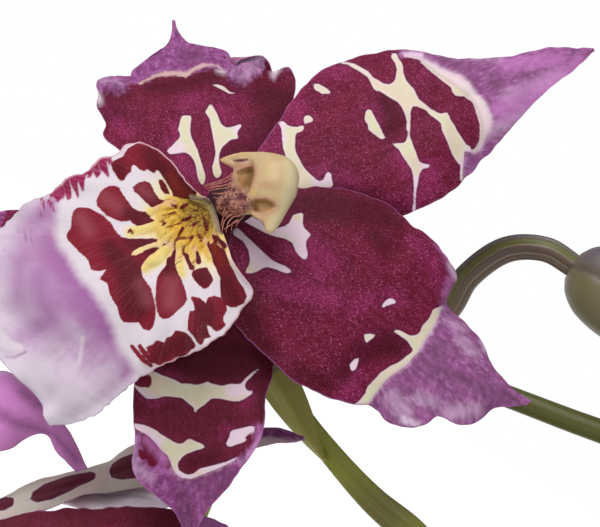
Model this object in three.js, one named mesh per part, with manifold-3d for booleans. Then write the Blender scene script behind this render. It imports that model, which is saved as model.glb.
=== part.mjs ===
// Potted odontoglossum orchid, in millimetres, +Z up, origin under the middle of the pot.
// The uppermost bloom and what stands round it are laid out in a frame of their own, as seen
// from in front: outline points (across, down) on a picture plane, and a depth toward the eye.
import * as THREE from 'three';
import { mergeVertices } from 'three/addons/utils/BufferGeometryUtils.js';
import Module from 'manifold-3d';

const wasm = await Module();
wasm.setup();

// driving dimensions
const potHeight = 110;
const potRimRadius = 61;
const potFootRadius = 42;
const potWall = 4.5;
const bedTop = 97;
const seatGap = 0.3;
const bladeThickness = 0.75;
const lipThickness = 0.8;
const topBloomAt = new THREE.Vector3(-12, -34, 500);
const outlineScale = 8.5; // outline units in a millimetre
const outlineMiddle = [232, 208];
const eyeAt = new THREE.Vector3(8, -6.5, 480);
const bloomLean = 30; // degrees that the top bloom's frame is turned about the line of sight
const planeDepth = -3.6; // the bloom's plane: its depth at the middle, and its slopes
const planeSlope = [0.048, -0.659];
const hubRadius = 3.3;
const hubHalfDepth = 1.7;

const green = 0x5f7a2c;
const darkGreen = 0x3f5f2a;
const burgundy = 0x73193a;
const lipPink = 0xc9a2c8;
const capCream = 0xdcc596;
const budOlive = 0x8b7d55;
const bulbGreen = 0x7d9146;
const barkBrown = 0x5a4030;
const clay = 0xb5653f;

// small helpers
function seededDraw(seed) {
  let state = seed >>> 0;
  return () => {
    state = (state + 0x6d2b79f5) >>> 0;
    let t = state;
    t = Math.imul(t ^ (t >>> 15), t | 1);
    t ^= t + Math.imul(t ^ (t >>> 7), t | 61);
    return ((t ^ (t >>> 14)) >>> 0) / 4294967296;
  };
}

function vec(x, y, z) {
  return new THREE.Vector3(x, y, z);
}

function solidGeometry(positions, triangles) {
  const geometry = new THREE.BufferGeometry();
  geometry.setAttribute('position', new THREE.BufferAttribute(new Float32Array(positions), 3));
  geometry.setIndex(triangles);
  return facedOut(geometry);
}

function signedVolume(geometry) {
  const p = geometry.attributes.position;
  const index = geometry.index.array;
  const a = new THREE.Vector3();
  const b = new THREE.Vector3();
  const c = new THREE.Vector3();
  let sum = 0;
  for (let i = 0; i < index.length; i += 3) {
    a.fromBufferAttribute(p, index[i]);
    b.fromBufferAttribute(p, index[i + 1]);
    c.fromBufferAttribute(p, index[i + 2]);
    sum += a.dot(b.cross(c)) / 6;
  }
  return sum;
}

function facedOut(geometry) {
  if (signedVolume(geometry) < 0) {
    const index = Array.from(geometry.index.array);
    for (let i = 0; i < index.length; i += 3) {
      [index[i + 1], index[i + 2]] = [index[i + 2], index[i + 1]];
    }
    geometry.setIndex(index);
  }
  return geometry;
}

function welded(source) {
  const bare = source.clone();
  for (const name of Object.keys(bare.attributes)) {
    if (name !== 'position') bare.deleteAttribute(name);
  }
  const merged = mergeVertices(bare, 1e-4);
  const index = merged.index.array;
  const kept = [];
  for (let i = 0; i < index.length; i += 3) {
    const [a, b, c] = [index[i], index[i + 1], index[i + 2]];
    if (a !== b && b !== c && a !== c) kept.push(a, b, c);
  }
  merged.setIndex(kept);
  return facedOut(merged);
}

function toSolid(geometry) {
  const shape = welded(geometry);
  return new wasm.Manifold(new wasm.Mesh({
    numProp: 3,
    vertProperties: new Float32Array(shape.attributes.position.array),
    triVerts: new Uint32Array(shape.index.array),
  }));
}

function fromSolid(solid) {
  const mesh = solid.getMesh();
  const geometry = new THREE.BufferGeometry();
  geometry.setAttribute('position', new THREE.BufferAttribute(new Float32Array(mesh.vertProperties), 3));
  geometry.setIndex(Array.from(mesh.triVerts));
  return geometry;
}

function joined(geometries) {
  let whole = toSolid(geometries[0]);
  for (const geometry of geometries.slice(1)) whole = whole.add(toSolid(geometry));
  // a crumb that a join leaves beside the body is dropped
  const bodies = whole.decompose();
  let largest = bodies[0];
  for (const body of bodies) if (body.volume() > largest.volume()) largest = body;
  return largest;
}

function alongPoints(points, u) {
  // a smooth curve through the points, u from 0 to 1
  const last = points.length - 1;
  const k = Math.min(Math.max(u, 0), 1) * last;
  const i = Math.min(Math.floor(k), last - 1);
  const f = k - i;
  const at = (j) => {
    if (j < 0) return points[0].clone().multiplyScalar(2).sub(points[1]);
    if (j > last) return points[last].clone().multiplyScalar(2).sub(points[last - 1]);
    return points[j];
  };
  const [a, b, c, d] = [at(i - 1), at(i), at(i + 1), at(i + 2)];
  const mix = (p, q, r, s) => 0.5 * (2 * q + (r - p) * f + (2 * p - 5 * q + 4 * r - s) * f * f
    + (3 * q - p - 3 * r + s) * f * f * f);
  return vec(mix(a.x, b.x, c.x, d.x), mix(a.y, b.y, c.y, d.y), mix(a.z, b.z, c.z, d.z));
}

function ballAt(centre, radii, across = 8, down = 5) {
  const ball = new THREE.SphereGeometry(1, across, down);
  ball.scale(radii[0], radii[1], radii[2]);
  ball.translate(centre.x, centre.y, centre.z);
  return ball;
}

// closed blades and tubes
function sheet(grid, thickness) {
  // a thin closed blade on a grid of points, split alike on both faces
  const rows = grid.length;
  const cols = grid[0].length;
  const positions = [];
  const normals = grid.map((row, i) => row.map((_, j) => {
    const along = grid[Math.min(i + 1, rows - 1)][j].clone().sub(grid[Math.max(i - 1, 0)][j]);
    const over = grid[i][Math.min(j + 1, cols - 1)].clone().sub(grid[i][Math.max(j - 1, 0)]);
    return along.cross(over).normalize();
  }));
  for (const side of [0.5, -0.5]) {
    for (let i = 0; i < rows; i++) {
      for (let j = 0; j < cols; j++) {
        const p = grid[i][j].clone().addScaledVector(normals[i][j], side * thickness);
        positions.push(p.x, p.y, p.z);
      }
    }
  }
  const half = rows * cols;
  const at = (i, j) => i * cols + j;
  const triangles = [];
  const quad = (a, b, c, d) => triangles.push(a, b, c, a, c, d);
  for (let i = 0; i < rows - 1; i++) {
    for (let j = 0; j < cols - 1; j++) {
      const [a, b, c, d] = [at(i, j), at(i + 1, j), at(i + 1, j + 1), at(i, j + 1)];
      triangles.push(a, b, c, a, c, d);
      triangles.push(half + a, half + c, half + b, half + a, half + d, half + c);
    }
  }
  const rim = [];
  for (let j = 0; j < cols - 1; j++) rim.push(at(0, j));
  for (let i = 0; i < rows - 1; i++) rim.push(at(i, cols - 1));
  for (let j = cols - 1; j > 0; j--) rim.push(at(rows - 1, j));
  for (let i = rows - 1; i > 0; i--) rim.push(at(i, 0));
  rim.forEach((a, k) => {
    const b = rim[(k + 1) % rim.length];
    quad(a, b, half + b, half + a);
  });
  return solidGeometry(positions, triangles);
}

function loft(rings) {
  // a closed body through rings of points, with a flat cap at each end
  const sides = rings[0].length;
  const positions = [];
  for (const ring of rings) for (const p of ring) positions.push(p.x, p.y, p.z);
  const triangles = [];
  for (let i = 0; i < rings.length - 1; i++) {
    for (let j = 0; j < sides; j++) {
      const a = i * sides + j;
      const b = i * sides + ((j + 1) % sides);
      triangles.push(a, b, b + sides, a, b + sides, a + sides);
    }
  }
  const lastRing = (rings.length - 1) * sides;
  for (let j = 1; j < sides - 1; j++) {
    triangles.push(0, j + 1, j);
    triangles.push(lastRing, lastRing + j, lastRing + j + 1);
  }
  return solidGeometry(positions, triangles);
}

function tube(points, radii, sides, steps, start = vec(0, 0, 1)) {
  // a round stem through the points, its radius running through the given radii
  const rings = [];
  const radiusPoints = radii.map((r) => vec(r, 0, 0));
  let side = start.clone();
  for (let i = 0; i <= steps; i++) {
    const u = i / steps;
    const centre = alongPoints(points, u);
    const ahead = alongPoints(points, Math.min(u + 0.01, 1));
    const behind = alongPoints(points, Math.max(u - 0.01, 0));
    const along = ahead.sub(behind).normalize();
    side = side.clone().addScaledVector(along, -side.dot(along));
    if (side.length() < 1e-3) side = vec(1, 0.3, 0).addScaledVector(along, -along.x - 0.3 * along.y);
    side.normalize();
    const other = along.clone().cross(side);
    const radius = alongPoints(radiusPoints, u).x;
    const ring = [];
    for (let j = 0; j < sides; j++) {
      const a = (j / sides) * 2 * Math.PI;
      ring.push(centre.clone().addScaledVector(side, radius * Math.cos(a))
        .addScaledVector(other, radius * Math.sin(a)));
    }
    rings.push(ring);
  }
  return loft(rings);
}

// the frame of the top bloom
const lean = THREE.MathUtils.degToRad(bloomLean);
const acrossAxis = vec(Math.cos(lean), 0, Math.sin(lean));
const upAxis = vec(-Math.sin(lean), 0, Math.cos(lean));
const eyeAxis = vec(0, -1, 0);

function framePoint(across, down, depth) {
  // the point at that depth which the eye sees at that outline point
  const x = (across - outlineMiddle[0]) / outlineScale;
  const y = (outlineMiddle[1] - down) / outlineScale;
  const f = (eyeAt.z - depth) / eyeAt.z;
  return vec(eyeAt.x + (x - eyeAt.x) * f, eyeAt.y + (y - eyeAt.y) * f, depth);
}

function bloomPoint([across, down, lift]) {
  // lift counts from the bloom's own plane
  const x = (across - outlineMiddle[0]) / outlineScale;
  const y = (outlineMiddle[1] - down) / outlineScale;
  return framePoint(across, down, planeDepth + planeSlope[0] * x + planeSlope[1] * y + lift);
}

function toWorld(p) {
  return topBloomAt.clone().addScaledVector(acrossAxis, p.x).addScaledVector(upAxis, p.y)
    .addScaledVector(eyeAxis, p.z);
}

function seen(across, down, depth) {
  return toWorld(framePoint(across, down, depth));
}

// outlines of the top bloom: left margin, midrib, right margin, each (across, down, lift)
const dorsalSepal = {
  left: [[231, 190, 0], [270, 134, -2], [316, 73, -4.5], [378, 52, -6.5], [446, 55, -7],
    [511, 54, -8.5], [556, 48, -10], [594, 48, -11]],
  midrib: [[236, 199, 0], [291, 176, -0.8], [350, 149, -2], [410, 123, -3.2], [464, 98, -5],
    [519, 76, -7.5], [560, 61, -9.5], [594, 49.5, -11]],
  right: [[243, 206, 0], [307, 214, -3.5], [380, 222, -6.5], [444, 199, -7], [489, 154, -7.5],
    [534, 109, -9], [568, 78, -10], [595, 51, -11]],
};
const lowerPetal = {
  left: [[244, 203, 0], [314, 188, -0.8], [370, 195, -1.5], [410, 224, -4], [445, 261, -8],
    [456, 318, -12], [483, 350, -15], [503, 381, -17.5], [527, 403, -20]],
  midrib: [[238, 212, 0], [280, 240, -0.5], [321, 267, -2], [363, 295, -4.5], [404, 323, -8],
    [438, 345, -11], [471, 367, -14], [500, 387, -17], [527, 405, -20]],
  right: [[232, 221, 0], [231, 313, -2.2], [264, 353, -4], [303, 386, -7], [349, 406, -10.5],
    [387, 421, -13], [437, 419, -15], [476, 424, -17.5], [526, 407, -20]],
};
const topPetal = {
  left: [[210, 193, 0], [150, 168, -3], [104, 135, -6], [99, 108, -9], [99, 96, -11],
    [101, 83, -10], [134, 70, -12], [163, 52, -16], [171, 21, -21]],
  midrib: [[218, 190, 0], [210, 160, -2], [203, 130, -4.5], [195, 100, -8], [189, 82, -10],
    [184, 70, -11], [181, 57, -14], [178, 42, -17.5], [173, 20, -21]],
  right: [[226, 186, 0], [260, 150, -3], [287, 118, -6], [296, 92, -9.5], [291, 76, -11],
    [266, 57, -10], [228, 54, -12], [196, 45, -16], [176, 20, -21]],
};
const lowerSepal = {
  left: [[222, 216, 0], [192, 262, -2], [158, 310, -4], [139, 352, -6.5], [133, 396, -9],
    [134, 440, -11.5], [137, 478, -14.5], [172, 508, -17.5], [187, 538, -21]],
  midrib: [[230, 218, 0], [226, 262, -1.5], [218, 308, -3.5], [209, 352, -6.5], [203, 396, -10],
    [199, 440, -13.5], [196, 478, -16.5], [192, 508, -18.5], [189, 540, -21]],
  right: [[238, 220, 0], [258, 262, -2.5], [274, 310, -5], [276, 352, -7], [267, 396, -9],
    [260, 440, -11.5], [234, 478, -14.5], [210, 508, -17.5], [192, 538, -21]],
};
const hiddenSepal = {
  left: [[222, 205, 0], [180, 190, -4], [130, 186, -8], [85, 190, -11.5], [45, 204, -14.5],
    [5, 211, -17.5], [-30, 226, -20.5], [-60, 244, -23.5], [-88, 260, -27]],
  midrib: [[225, 211, 0], [180, 222, -3], [130, 232, -6.5], [85, 240, -10], [45, 247, -13],
    [5, 252, -16.5], [-30, 256, -20], [-60, 260, -23.5], [-89, 262, -27]],
  right: [[228, 217, 0], [180, 256, -4], [130, 280, -8], [85, 292, -11.5], [45, 297, -14.5],
    [5, 297, -17.5], [-30, 290, -20.5], [-60, 277, -23.5], [-88, 265, -27]],
};
// rows across the lip, from its claw to the tip of the apron
const lipRows = [
  [[211, 203, 1.2], [213, 207, 1.1], [215, 212, 1.1], [218, 218, 1.1], [221, 226, 1.2]],
  [[198, 180, 6], [198, 201, 3.2], [201, 224, 2.3], [218, 243, 3.2], [236, 262, 6]],
  [[170, 150, 5], [172, 195, 3.2], [178, 240, 2.5], [213, 266, 3.2], [251, 292, 5]],
  [[140, 143, 2], [146, 200, 2.2], [152, 258, 2.2], [195, 287, 2.2], [241, 314, 2]],
  [[112, 155, 0.5], [119, 216, 1.2], [125, 277, 1.5], [170, 309, 1.2], [216, 340, 0.5]],
  [[82, 171, -1.5], [90, 234, -0.5], [98, 296, 0], [140, 327, -0.5], [184, 356, -1.5]],
  [[48, 192, -4], [60, 254, -2.5], [72, 314, -2], [111, 345, -2.5], [150, 372, -4]],
  [[8, 218, -6.5], [30, 276, -5], [50, 330, -4.5], [84, 363, -5], [120, 394, -6.5]],
  [[-28, 250, -9], [3, 302, -7.5], [33, 341, -7], [59, 383, -7.5], [88, 418, -9]],
  [[-44, 295, -11], [-28, 331, -10], [4, 365, -9], [18, 398, -10], [50, 425, -11]],
];
const callusBump = [[190, 222, 3.4], [160, 232, 3.2], [196, 246, 3.4]];
const columnPath = [[238, 201, 2.3], [246, 197, 5], [258, 194, 7.5], [270, 190, 9.5], [279, 187, 11],
  [285, 186, 12]];
const columnHalfHeights = [1.5, 2.0, 3.0, 4.3, 3.8, 2.0];
const columnHalfWidths = [1.4, 1.8, 2.3, 3.1, 2.8, 1.6];
const columnWing = [[[262, 158, 9], [258, 166, 9.5]], [[240, 156, 8], [240, 162, 8.3]],
  [[222, 156, 6.5], [222, 160, 6.7]]];

// the second bloom, below and behind: its tepals in the same view, with depths
const secondMiddle = [-70, 525, -28];
const secondTepals = [
  {
    left: [[-75, 512, -28], [-78, 450, -27], [-50, 395, -25], [0, 372, -24], [30, 388, -23],
      [52, 412, -22.5], [67, 428, -22], [88, 468, -22]],
    midrib: [[-70, 514, -28], [-58, 466, -25], [-34, 425, -22], [4, 410, -20.5], [32, 410, -20.5],
      [50, 424, -21], [63, 443, -21.5], [82, 470, -22]],
    right: [[-64, 517, -28], [-32, 490, -25], [-10, 458, -23], [10, 447, -22], [34, 436, -22],
      [48, 437, -22], [57, 452, -22], [77, 472, -22]],
  },
  {
    left: [[-64, 515, -28], [0, 500, -26], [40, 480, -25], [100, 460, -24], [133, 448, -23],
      [190, 436, -22], [248, 427, -21], [283, 429, -20], [304, 436, -20]],
    midrib: [[-62, 521, -28], [0, 510, -22], [45, 494, -19], [100, 478, -18], [136, 468, -18],
      [190, 454, -18], [245, 441, -18.5], [280, 436, -19], [305, 438, -20]],
    right: [[-62, 528, -28], [0, 521, -19], [50, 510, -15], [98, 497, -13], [140, 487, -13],
      [190, 471, -14.5], [248, 453, -16], [286, 443, -18], [304, 440, -20]],
  },
  {
    left: [[-64, 524, -28], [0, 520, -16.5], [50, 503, -12], [92, 487, -10.5], [128, 485, -10],
      [155, 491, -10], [174, 499, -10]],
    midrib: [[-64, 530, -28], [0, 530, -15], [50, 518, -10.5], [92, 504, -9], [128, 500, -9],
      [155, 501, -9.5], [177, 503, -10]],
    right: [[-64, 535, -28], [0, 541, -14], [50, 534, -9.5], [92, 522, -8.5], [128, 514, -8.5],
      [155, 511, -9], [175, 507, -10]],
  },
  {
    left: [[-68, 531, -27], [-20, 522, -13], [20, 513, -7], [70, 508, -5], [125, 510, -4.5],
      [160, 507, -4.5], [200, 519, -5], [232, 532, -6]],
    midrib: [[-70, 536, -27], [-20, 552, -11], [20, 562, -4], [70, 570, -1], [125, 566, 0],
      [170, 556, -1.5], [207, 546, -3.5], [236, 536, -6]],
    right: [[-74, 541, -27], [-26, 588, -10], [20, 620, -4], [80, 628, -1], [130, 618, 0],
      [180, 598, -1], [215, 570, -3], [235, 541, -6]],
  },
  {
    left: [[-77, 531, -28], [-105, 585, -28], [-150, 625, -30], [-205, 650, -33], [-260, 655, -37],
      [-300, 668, -41]],
    midrib: [[-78, 525, -28], [-128, 551, -27], [-180, 583, -29], [-228, 612, -33], [-270, 637, -37],
      [-302, 664, -41]],
    right: [[-78, 518, -28], [-150, 515, -28], [-212, 538, -30], [-252, 573, -33], [-285, 615, -37],
      [-303, 660, -41]],
  },
];

// one bloom
function tepalGrid(outline, place, rows, cols, wave) {
  const left = outline.left.map(place);
  const midrib = outline.midrib.map(place);
  const right = outline.right.map(place);
  const grid = [];
  for (let i = 0; i <= rows; i++) {
    const u = i / rows;
    const [l, m, r] = [alongPoints(left, u), alongPoints(midrib, u), alongPoints(right, u)];
    const over = r.clone().sub(l);
    if (over.length() < 0.9) {
      over.setLength(0.45);
      l.copy(m).sub(over);
      r.copy(m).add(over);
    }
    const ahead = alongPoints(midrib, Math.min(u + 0.02, 1)).sub(alongPoints(midrib, Math.max(u - 0.02, 0)));
    const face = ahead.cross(over).normalize();
    const row = [];
    for (let j = 0; j <= cols; j++) {
      const t = (2 * j) / cols - 1;
      const p = l.clone().multiplyScalar((t * t - t) / 2).addScaledVector(m, 1 - t * t)
        .addScaledVector(r, (t * t + t) / 2);
      const ripple = Math.abs(t) ** 3 * Math.sin(Math.PI * u)
        * Math.sin(2 * Math.PI * wave.count * u + wave.phase + (t > 0 ? 1.7 : 0));
      row.push(p.addScaledVector(face, wave.height * ripple));
    }
    grid.push(row);
  }
  return grid;
}

function lipGrid(place, rows, cols) {
  const columns = [0, 1, 2, 3, 4].map((c) => lipRows.map((row) => place(row[c])));
  const grid = [];
  for (let i = 0; i <= rows; i++) {
    const across = columns.map((column) => alongPoints(column, i / rows));
    const row = [];
    for (let j = 0; j <= cols; j++) row.push(alongPoints(across, j / cols));
    grid.push(row);
  }
  return grid;
}

function columnGeometry(place, sides) {
  const centres = columnPath.map(place);
  const rings = centres.map((centre, i) => {
    const along = centres[Math.min(i + 1, centres.length - 1)].clone().sub(centres[Math.max(i - 1, 0)]);
    along.normalize();
    const [across, down, lift] = columnPath[i];
    const up = place([across, down - 10, lift]).sub(centre);
    up.addScaledVector(along, -up.dot(along)).normalize();
    const side = along.clone().cross(up);
    const ring = [];
    for (let j = 0; j < sides; j++) {
      const a = (j / sides) * 2 * Math.PI;
      ring.push(centre.clone().addScaledVector(up, columnHalfHeights[i] * Math.cos(a))
        .addScaledVector(side, columnHalfWidths[i] * Math.sin(a)));
    }
    return ring;
  });
  const wing = sheet(columnWing.map((row) => row.map(place)), bladeThickness);
  return fromSolid(joined([loft(rings), wing]));
}

function hubGeometry(middle, facing) {
  const hub = new THREE.SphereGeometry(1, 7, 4);
  hub.scale(hubRadius, hubRadius, hubHalfDepth);
  hub.applyQuaternion(new THREE.Quaternion().setFromUnitVectors(vec(0, 0, 1), facing));
  hub.translate(middle.x, middle.y, middle.z);
  return hub;
}

const planeFacing = vec(-planeSlope[0], -planeSlope[1], 1).normalize();
const hubMiddle = bloomPoint([232, 206, -0.6]);

// how a bloom's plane-frame point is turned, bent and sized for each other bloom of the spike
function placement(bloom) {
  const facing = vec(...bloom.facing).normalize();
  const dorsal = vec(...bloom.dorsal);
  dorsal.addScaledVector(facing, -dorsal.dot(facing)).normalize();
  const from = new THREE.Matrix4();
  const d = vec(Math.cos(lean), Math.sin(lean), 0);
  d.addScaledVector(planeFacing, -d.dot(planeFacing)).normalize();
  from.makeBasis(d.clone().cross(planeFacing), d, planeFacing).setPosition(hubMiddle).invert();
  const to = new THREE.Matrix4().makeBasis(dorsal.clone().cross(facing), dorsal, facing);
  const turn = new THREE.Matrix4().makeScale(bloom.mirror ? -bloom.size : bloom.size, bloom.size, bloom.size);
  to.multiply(turn).setPosition(vec(...bloom.at));
  return (bend, swing) => (raw) => {
    const p = bloomPoint(raw).applyMatrix4(from);
    const r = Math.hypot(p.x, p.y);
    p.z += (bend * r * r) / 1200;
    const a = (swing * Math.min(r, 10)) / 10;
    const [x, y] = [p.x, p.y];
    p.x = x * Math.cos(a) - y * Math.sin(a);
    p.y = x * Math.sin(a) + y * Math.cos(a);
    return p.applyMatrix4(to);
  };
}

const regularTepals = [dorsalSepal, topPetal, lowerPetal, lowerSepal, hiddenSepal];
const lipPlaceBend = 0.4;

function bloomMeshes(name, tepals, placeTepal, placeLip, hub, detail) {
  const draw = seededDraw(detail.seed);
  const sheets = tepals.map((outline, i) => {
    const wave = { count: 2.2 + draw() * 0.6, phase: draw() * 6, height: detail.wave };
    return sheet(tepalGrid(outline, placeTepal(i), detail.rows, detail.cols, wave), bladeThickness);
  });
  const meshes = [plain(`${name}_tepals`, fromSolid(joined([hub, ...sheets])), burgundy, 0.55)];
  const lipSheet = sheet(lipGrid(placeLip, detail.lipRows, detail.lipCols), lipThickness);
  const bumps = callusBump.map((raw) => ballAt(placeLip(raw), [1.5, 1.5, 1.5], 5, 3));
  meshes.push(plain(`${name}_lip`, fromSolid(joined([lipSheet, ...bumps])), lipPink, 0.55));
  meshes.push(plain(`${name}_column`, columnGeometry(placeLip, detail.columnSides), capCream, 0.45));
  return meshes;
}

function plain(name, geometry, color, roughness) {
  const material = new THREE.MeshStandardMaterial({ color, roughness, metalness: 0 });
  const mesh = new THREE.Mesh(geometry, material);
  mesh.name = name;
  return mesh;
}

function topBloom() {
  const place = (raw) => toWorld(bloomPoint(raw));
  const facing = toWorld(planeFacing).sub(topBloomAt);
  const hub = hubGeometry(toWorld(hubMiddle), facing);
  const detail = { seed: 11, wave: 0.7, rows: 10, cols: 5, lipRows: 11, lipCols: 7, columnSides: 10 };
  return bloomMeshes('bloom_1', regularTepals, () => place, place, hub, detail);
}

const lowerBlooms = [
  { name: 'bloom_3', at: [50, -40, 412], facing: [0.42, -0.86, 0.22], dorsal: [0.12, 0.2, 1],
    size: 0.95, mirror: true, seed: 31, node: 452 },
  { name: 'bloom_4', at: [-42, -42, 388], facing: [-0.4, -0.87, 0.26], dorsal: [-0.2, 0.2, 1],
    size: 0.97, mirror: false, seed: 47, node: 424 },
  { name: 'bloom_5', at: [56, -46, 323], facing: [0.5, -0.82, 0.2], dorsal: [0.25, 0.2, 1],
    size: 1.0, mirror: false, seed: 53, node: 372 },
  { name: 'bloom_6', at: [-34, -50, 300], facing: [-0.45, -0.84, 0.25], dorsal: [-0.1, 0.25, 1],
    size: 1.02, mirror: true, seed: 67, node: 340 },
];

function lowerBloom(bloom) {
  const draw = seededDraw(bloom.seed);
  const place = placement(bloom);
  const bends = regularTepals.map((_, i) => (i === 4 ? -2 - 2 * draw() : -3.5 * draw()));
  const swings = regularTepals.map(() => (draw() - 0.5) * 0.12);
  const facing = vec(...bloom.facing).normalize();
  const hub = hubGeometry(vec(...bloom.at), facing);
  const detail = { seed: bloom.seed, wave: 0.9, rows: 7, cols: 4, lipRows: 7, lipCols: 5, columnSides: 7 };
  return bloomMeshes(bloom.name, regularTepals, (i) => place(bends[i], swings[i]),
    place(lipPlaceBend, 0), hub, detail);
}

const secondBloom = {
  at: seen(...secondMiddle).toArray(), facing: [-0.31, -0.9, 0.32], dorsal: [0.99, 0.01, 0.14],
  size: 0.9, mirror: false,
};

function behindBloom() {
  const facing = vec(...secondBloom.facing).normalize();
  const hub = hubGeometry(vec(...secondBloom.at), facing);
  const lipAt = vec(...secondBloom.at).addScaledVector(facing, 1.3).toArray();
  const detail = { seed: 23, wave: 0.5, rows: 8, cols: 4, lipRows: 7, lipCols: 5, columnSides: 7 };
  return bloomMeshes('bloom_2', secondTepals, () => (raw) => seen(...raw),
    placement({ ...secondBloom, at: lipAt })(0, 0), hub, detail);
}

// the flower spike
const spikeRadii = [2.6, 2.6, 2.5, 2.4, 2.3, 2.2, 2.1, 2.0, 1.9, 1.8, 1.5, 1.4, 1.35, 1.3, 1.1, 0.8];
const spikeFoot = vec(36, -18, bedTop - 9);
const upperNode = seen(268, 366, -30);
const bendNode = seen(396, 352, -30);
const spikePoints = [
  spikeFoot,
  vec(37, -17, 140),
  vec(36, -14, 190),
  vec(32, -10, 245),
  vec(26, -6, 300),
  vec(19, -4, 350),
  vec(12, -4, 395),
  vec(6, -4, 435),
  vec(2.5, -4, 462),
  upperNode,
  bendNode,
  seen(455, 377, -28),
  seen(510, 397, -27),
  seen(602, 430, -25),
  vec(66, -12, 494),
  vec(80, -14, 484),
];

function bractGeometry(base, tip, sideways, width) {
  // a small folded leaf that sheathes the stem at its base
  const along = tip.clone().sub(base);
  const out = along.clone().cross(sideways).normalize();
  const over = sideways.clone().normalize();
  const grid = [];
  for (let i = 0; i <= 3; i++) {
    const u = i / 3;
    const half = width * 0.5 * (1 - u ** 1.6) + 0.4;
    const row = [];
    for (let j = 0; j <= 2; j++) {
      const t = j - 1;
      const fold = 0.45 * width * (1 - 0.6 * u) * (1 - Math.abs(t));
      row.push(base.clone().addScaledVector(along, u).addScaledVector(over, t * half)
        .addScaledVector(out, fold));
    }
    grid.push(row);
  }
  return sheet(grid, bladeThickness);
}

function bloomBack(bloomAt, facing, reach) {
  return bloomAt.clone().addScaledVector(facing, -reach);
}

const backReach = hubHalfDepth + seatGap;

function pedicel(node, end, facing, bow, radii = [0.95, 1.0, 1.15, 1.45, 1.6, 1.3]) {
  // from its node on the stem to the back of a bloom, the last stretch square to the bloom
  const near = end.clone().addScaledVector(facing, -9);
  const middle = node.clone().lerp(near, 0.5).add(bow);
  const curve = new THREE.CatmullRomCurve3([node, middle, near, end]);
  return tube(curve.getSpacedPoints(6), radii, 5, 6, vec(0.2, 1, 0.1));
}

function flowerSpike() {
  const pieces = [tube(spikePoints, spikeRadii, 7, 30, vec(0, 1, 0))];
  // the top bloom's stalk runs hidden behind it from a node further down
  const facing = toWorld(planeFacing).sub(topBloomAt);
  const topBack = bloomBack(toWorld(hubMiddle), facing, backReach);
  const lowNode = vec(3.4, -4, 455);
  pieces.push(pedicel(lowNode, topBack, facing, vec(-5, 1, -1)));
  // the stalk with the large bract, to the first bud
  pieces.push(tube([upperNode, seen(283, 385, -28), seen(303, 418, -26), seen(338, 462, -24),
    seen(373, 500, -23), seen(408, 530, -22), seen(432, 555, -22)],
  [1.5, 1.45, 1.35, 1.5, 1.75, 2.0, 1.9], 7, 8, vec(0, 1, 0)));
  pieces.push(bractGeometry(seen(277, 379, -28), seen(325, 461, -22.5), seen(305, 365, -29)
    .sub(seen(270, 392, -29)), 4.6));
  // the arched stalk to the second bud
  pieces.push(tube([bendNode, seen(425, 340, -29), seen(450, 306, -28), seen(468, 276, -27),
    seen(505, 250, -26), seen(545, 249, -25), seen(570, 263, -24.5)],
  [1.3, 1.45, 1.6, 1.65, 1.65, 1.6, 1.5], 7, 10, vec(0, 1, 0)));
  // stalks of the two small buds by the tip
  pieces.push(tube([vec(61, -11.5, 495.5), vec(66, -10, 499), vec(70, -9, 504)], [0.8, 0.9, 0.9], 6, 3));
  // each lower bloom's stalk with its bract
  const all = [{ at: vec(...secondBloom.at), facing: vec(...secondBloom.facing), node: 442, size: 1 },
    ...lowerBlooms.map((b) => ({ at: vec(...b.at), facing: vec(...b.facing), node: b.node, size: 1 }))];
  for (const bloom of all) {
    const side = Math.sign(bloom.at.x);
    const node = spikeAt(bloom.node);
    const face = bloom.facing.normalize();
    const end = bloomBack(bloom.at, face, backReach);
    pieces.push(pedicel(node, end, face, vec(side * 2, 2, 1)));
    pieces.push(bractGeometry(node.clone().add(vec(side * 0.8, 0.5, -3)), node.clone()
      .add(vec(side * 5, 2.2, 8)), vec(0, 1, 0), 3.6));
  }
  // sheathing bracts lower on the stem
  for (const [height, side] of [[160, 1], [222, -1], [280, 1]]) {
    const node = spikeAt(height);
    pieces.push(bractGeometry(node.clone().add(vec(side * 1.6, 0, -4)), node.clone()
      .add(vec(side * 3.6, 0.5, 16)), vec(0, 1, 0), 5));
  }
  return plain('flower_spike', fromSolid(joined(pieces)), green, 0.5);
}

function spikeAt(height) {
  // the middle of the upright stem at that height
  let best = spikePoints[0];
  for (let i = 0; i <= 400; i++) {
    const p = alongPoints(spikePoints, (i / 400) * 0.6);
    if (Math.abs(p.z - height) < Math.abs(best.z - height)) best = p;
  }
  return best.clone();
}

// buds
function bud(name, base, tip, radius, sides = 9) {
  const along = tip.clone().sub(base);
  const length = along.length();
  along.normalize();
  const side = vec(0, 1, 0).addScaledVector(along, -along.y).normalize();
  const other = along.clone().cross(side);
  const shape = [[0, 0.35], [0.05, 0.62], [0.16, 0.88], [0.34, 1], [0.55, 0.94], [0.75, 0.7],
    [0.9, 0.38], [1, 0.1]];
  const rings = shape.map(([u, r]) => {
    const ring = [];
    for (let j = 0; j < sides; j++) {
      const a = (j / sides) * 2 * Math.PI;
      const lobe = radius * r * (1 + 0.06 * Math.cos(3 * a));
      ring.push(base.clone().addScaledVector(along, u * length)
        .addScaledVector(side, lobe * Math.cos(a)).addScaledVector(other, lobe * Math.sin(a)));
    }
    return ring;
  });
  return plain(name, loft(rings), budOlive, 0.5);
}

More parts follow.
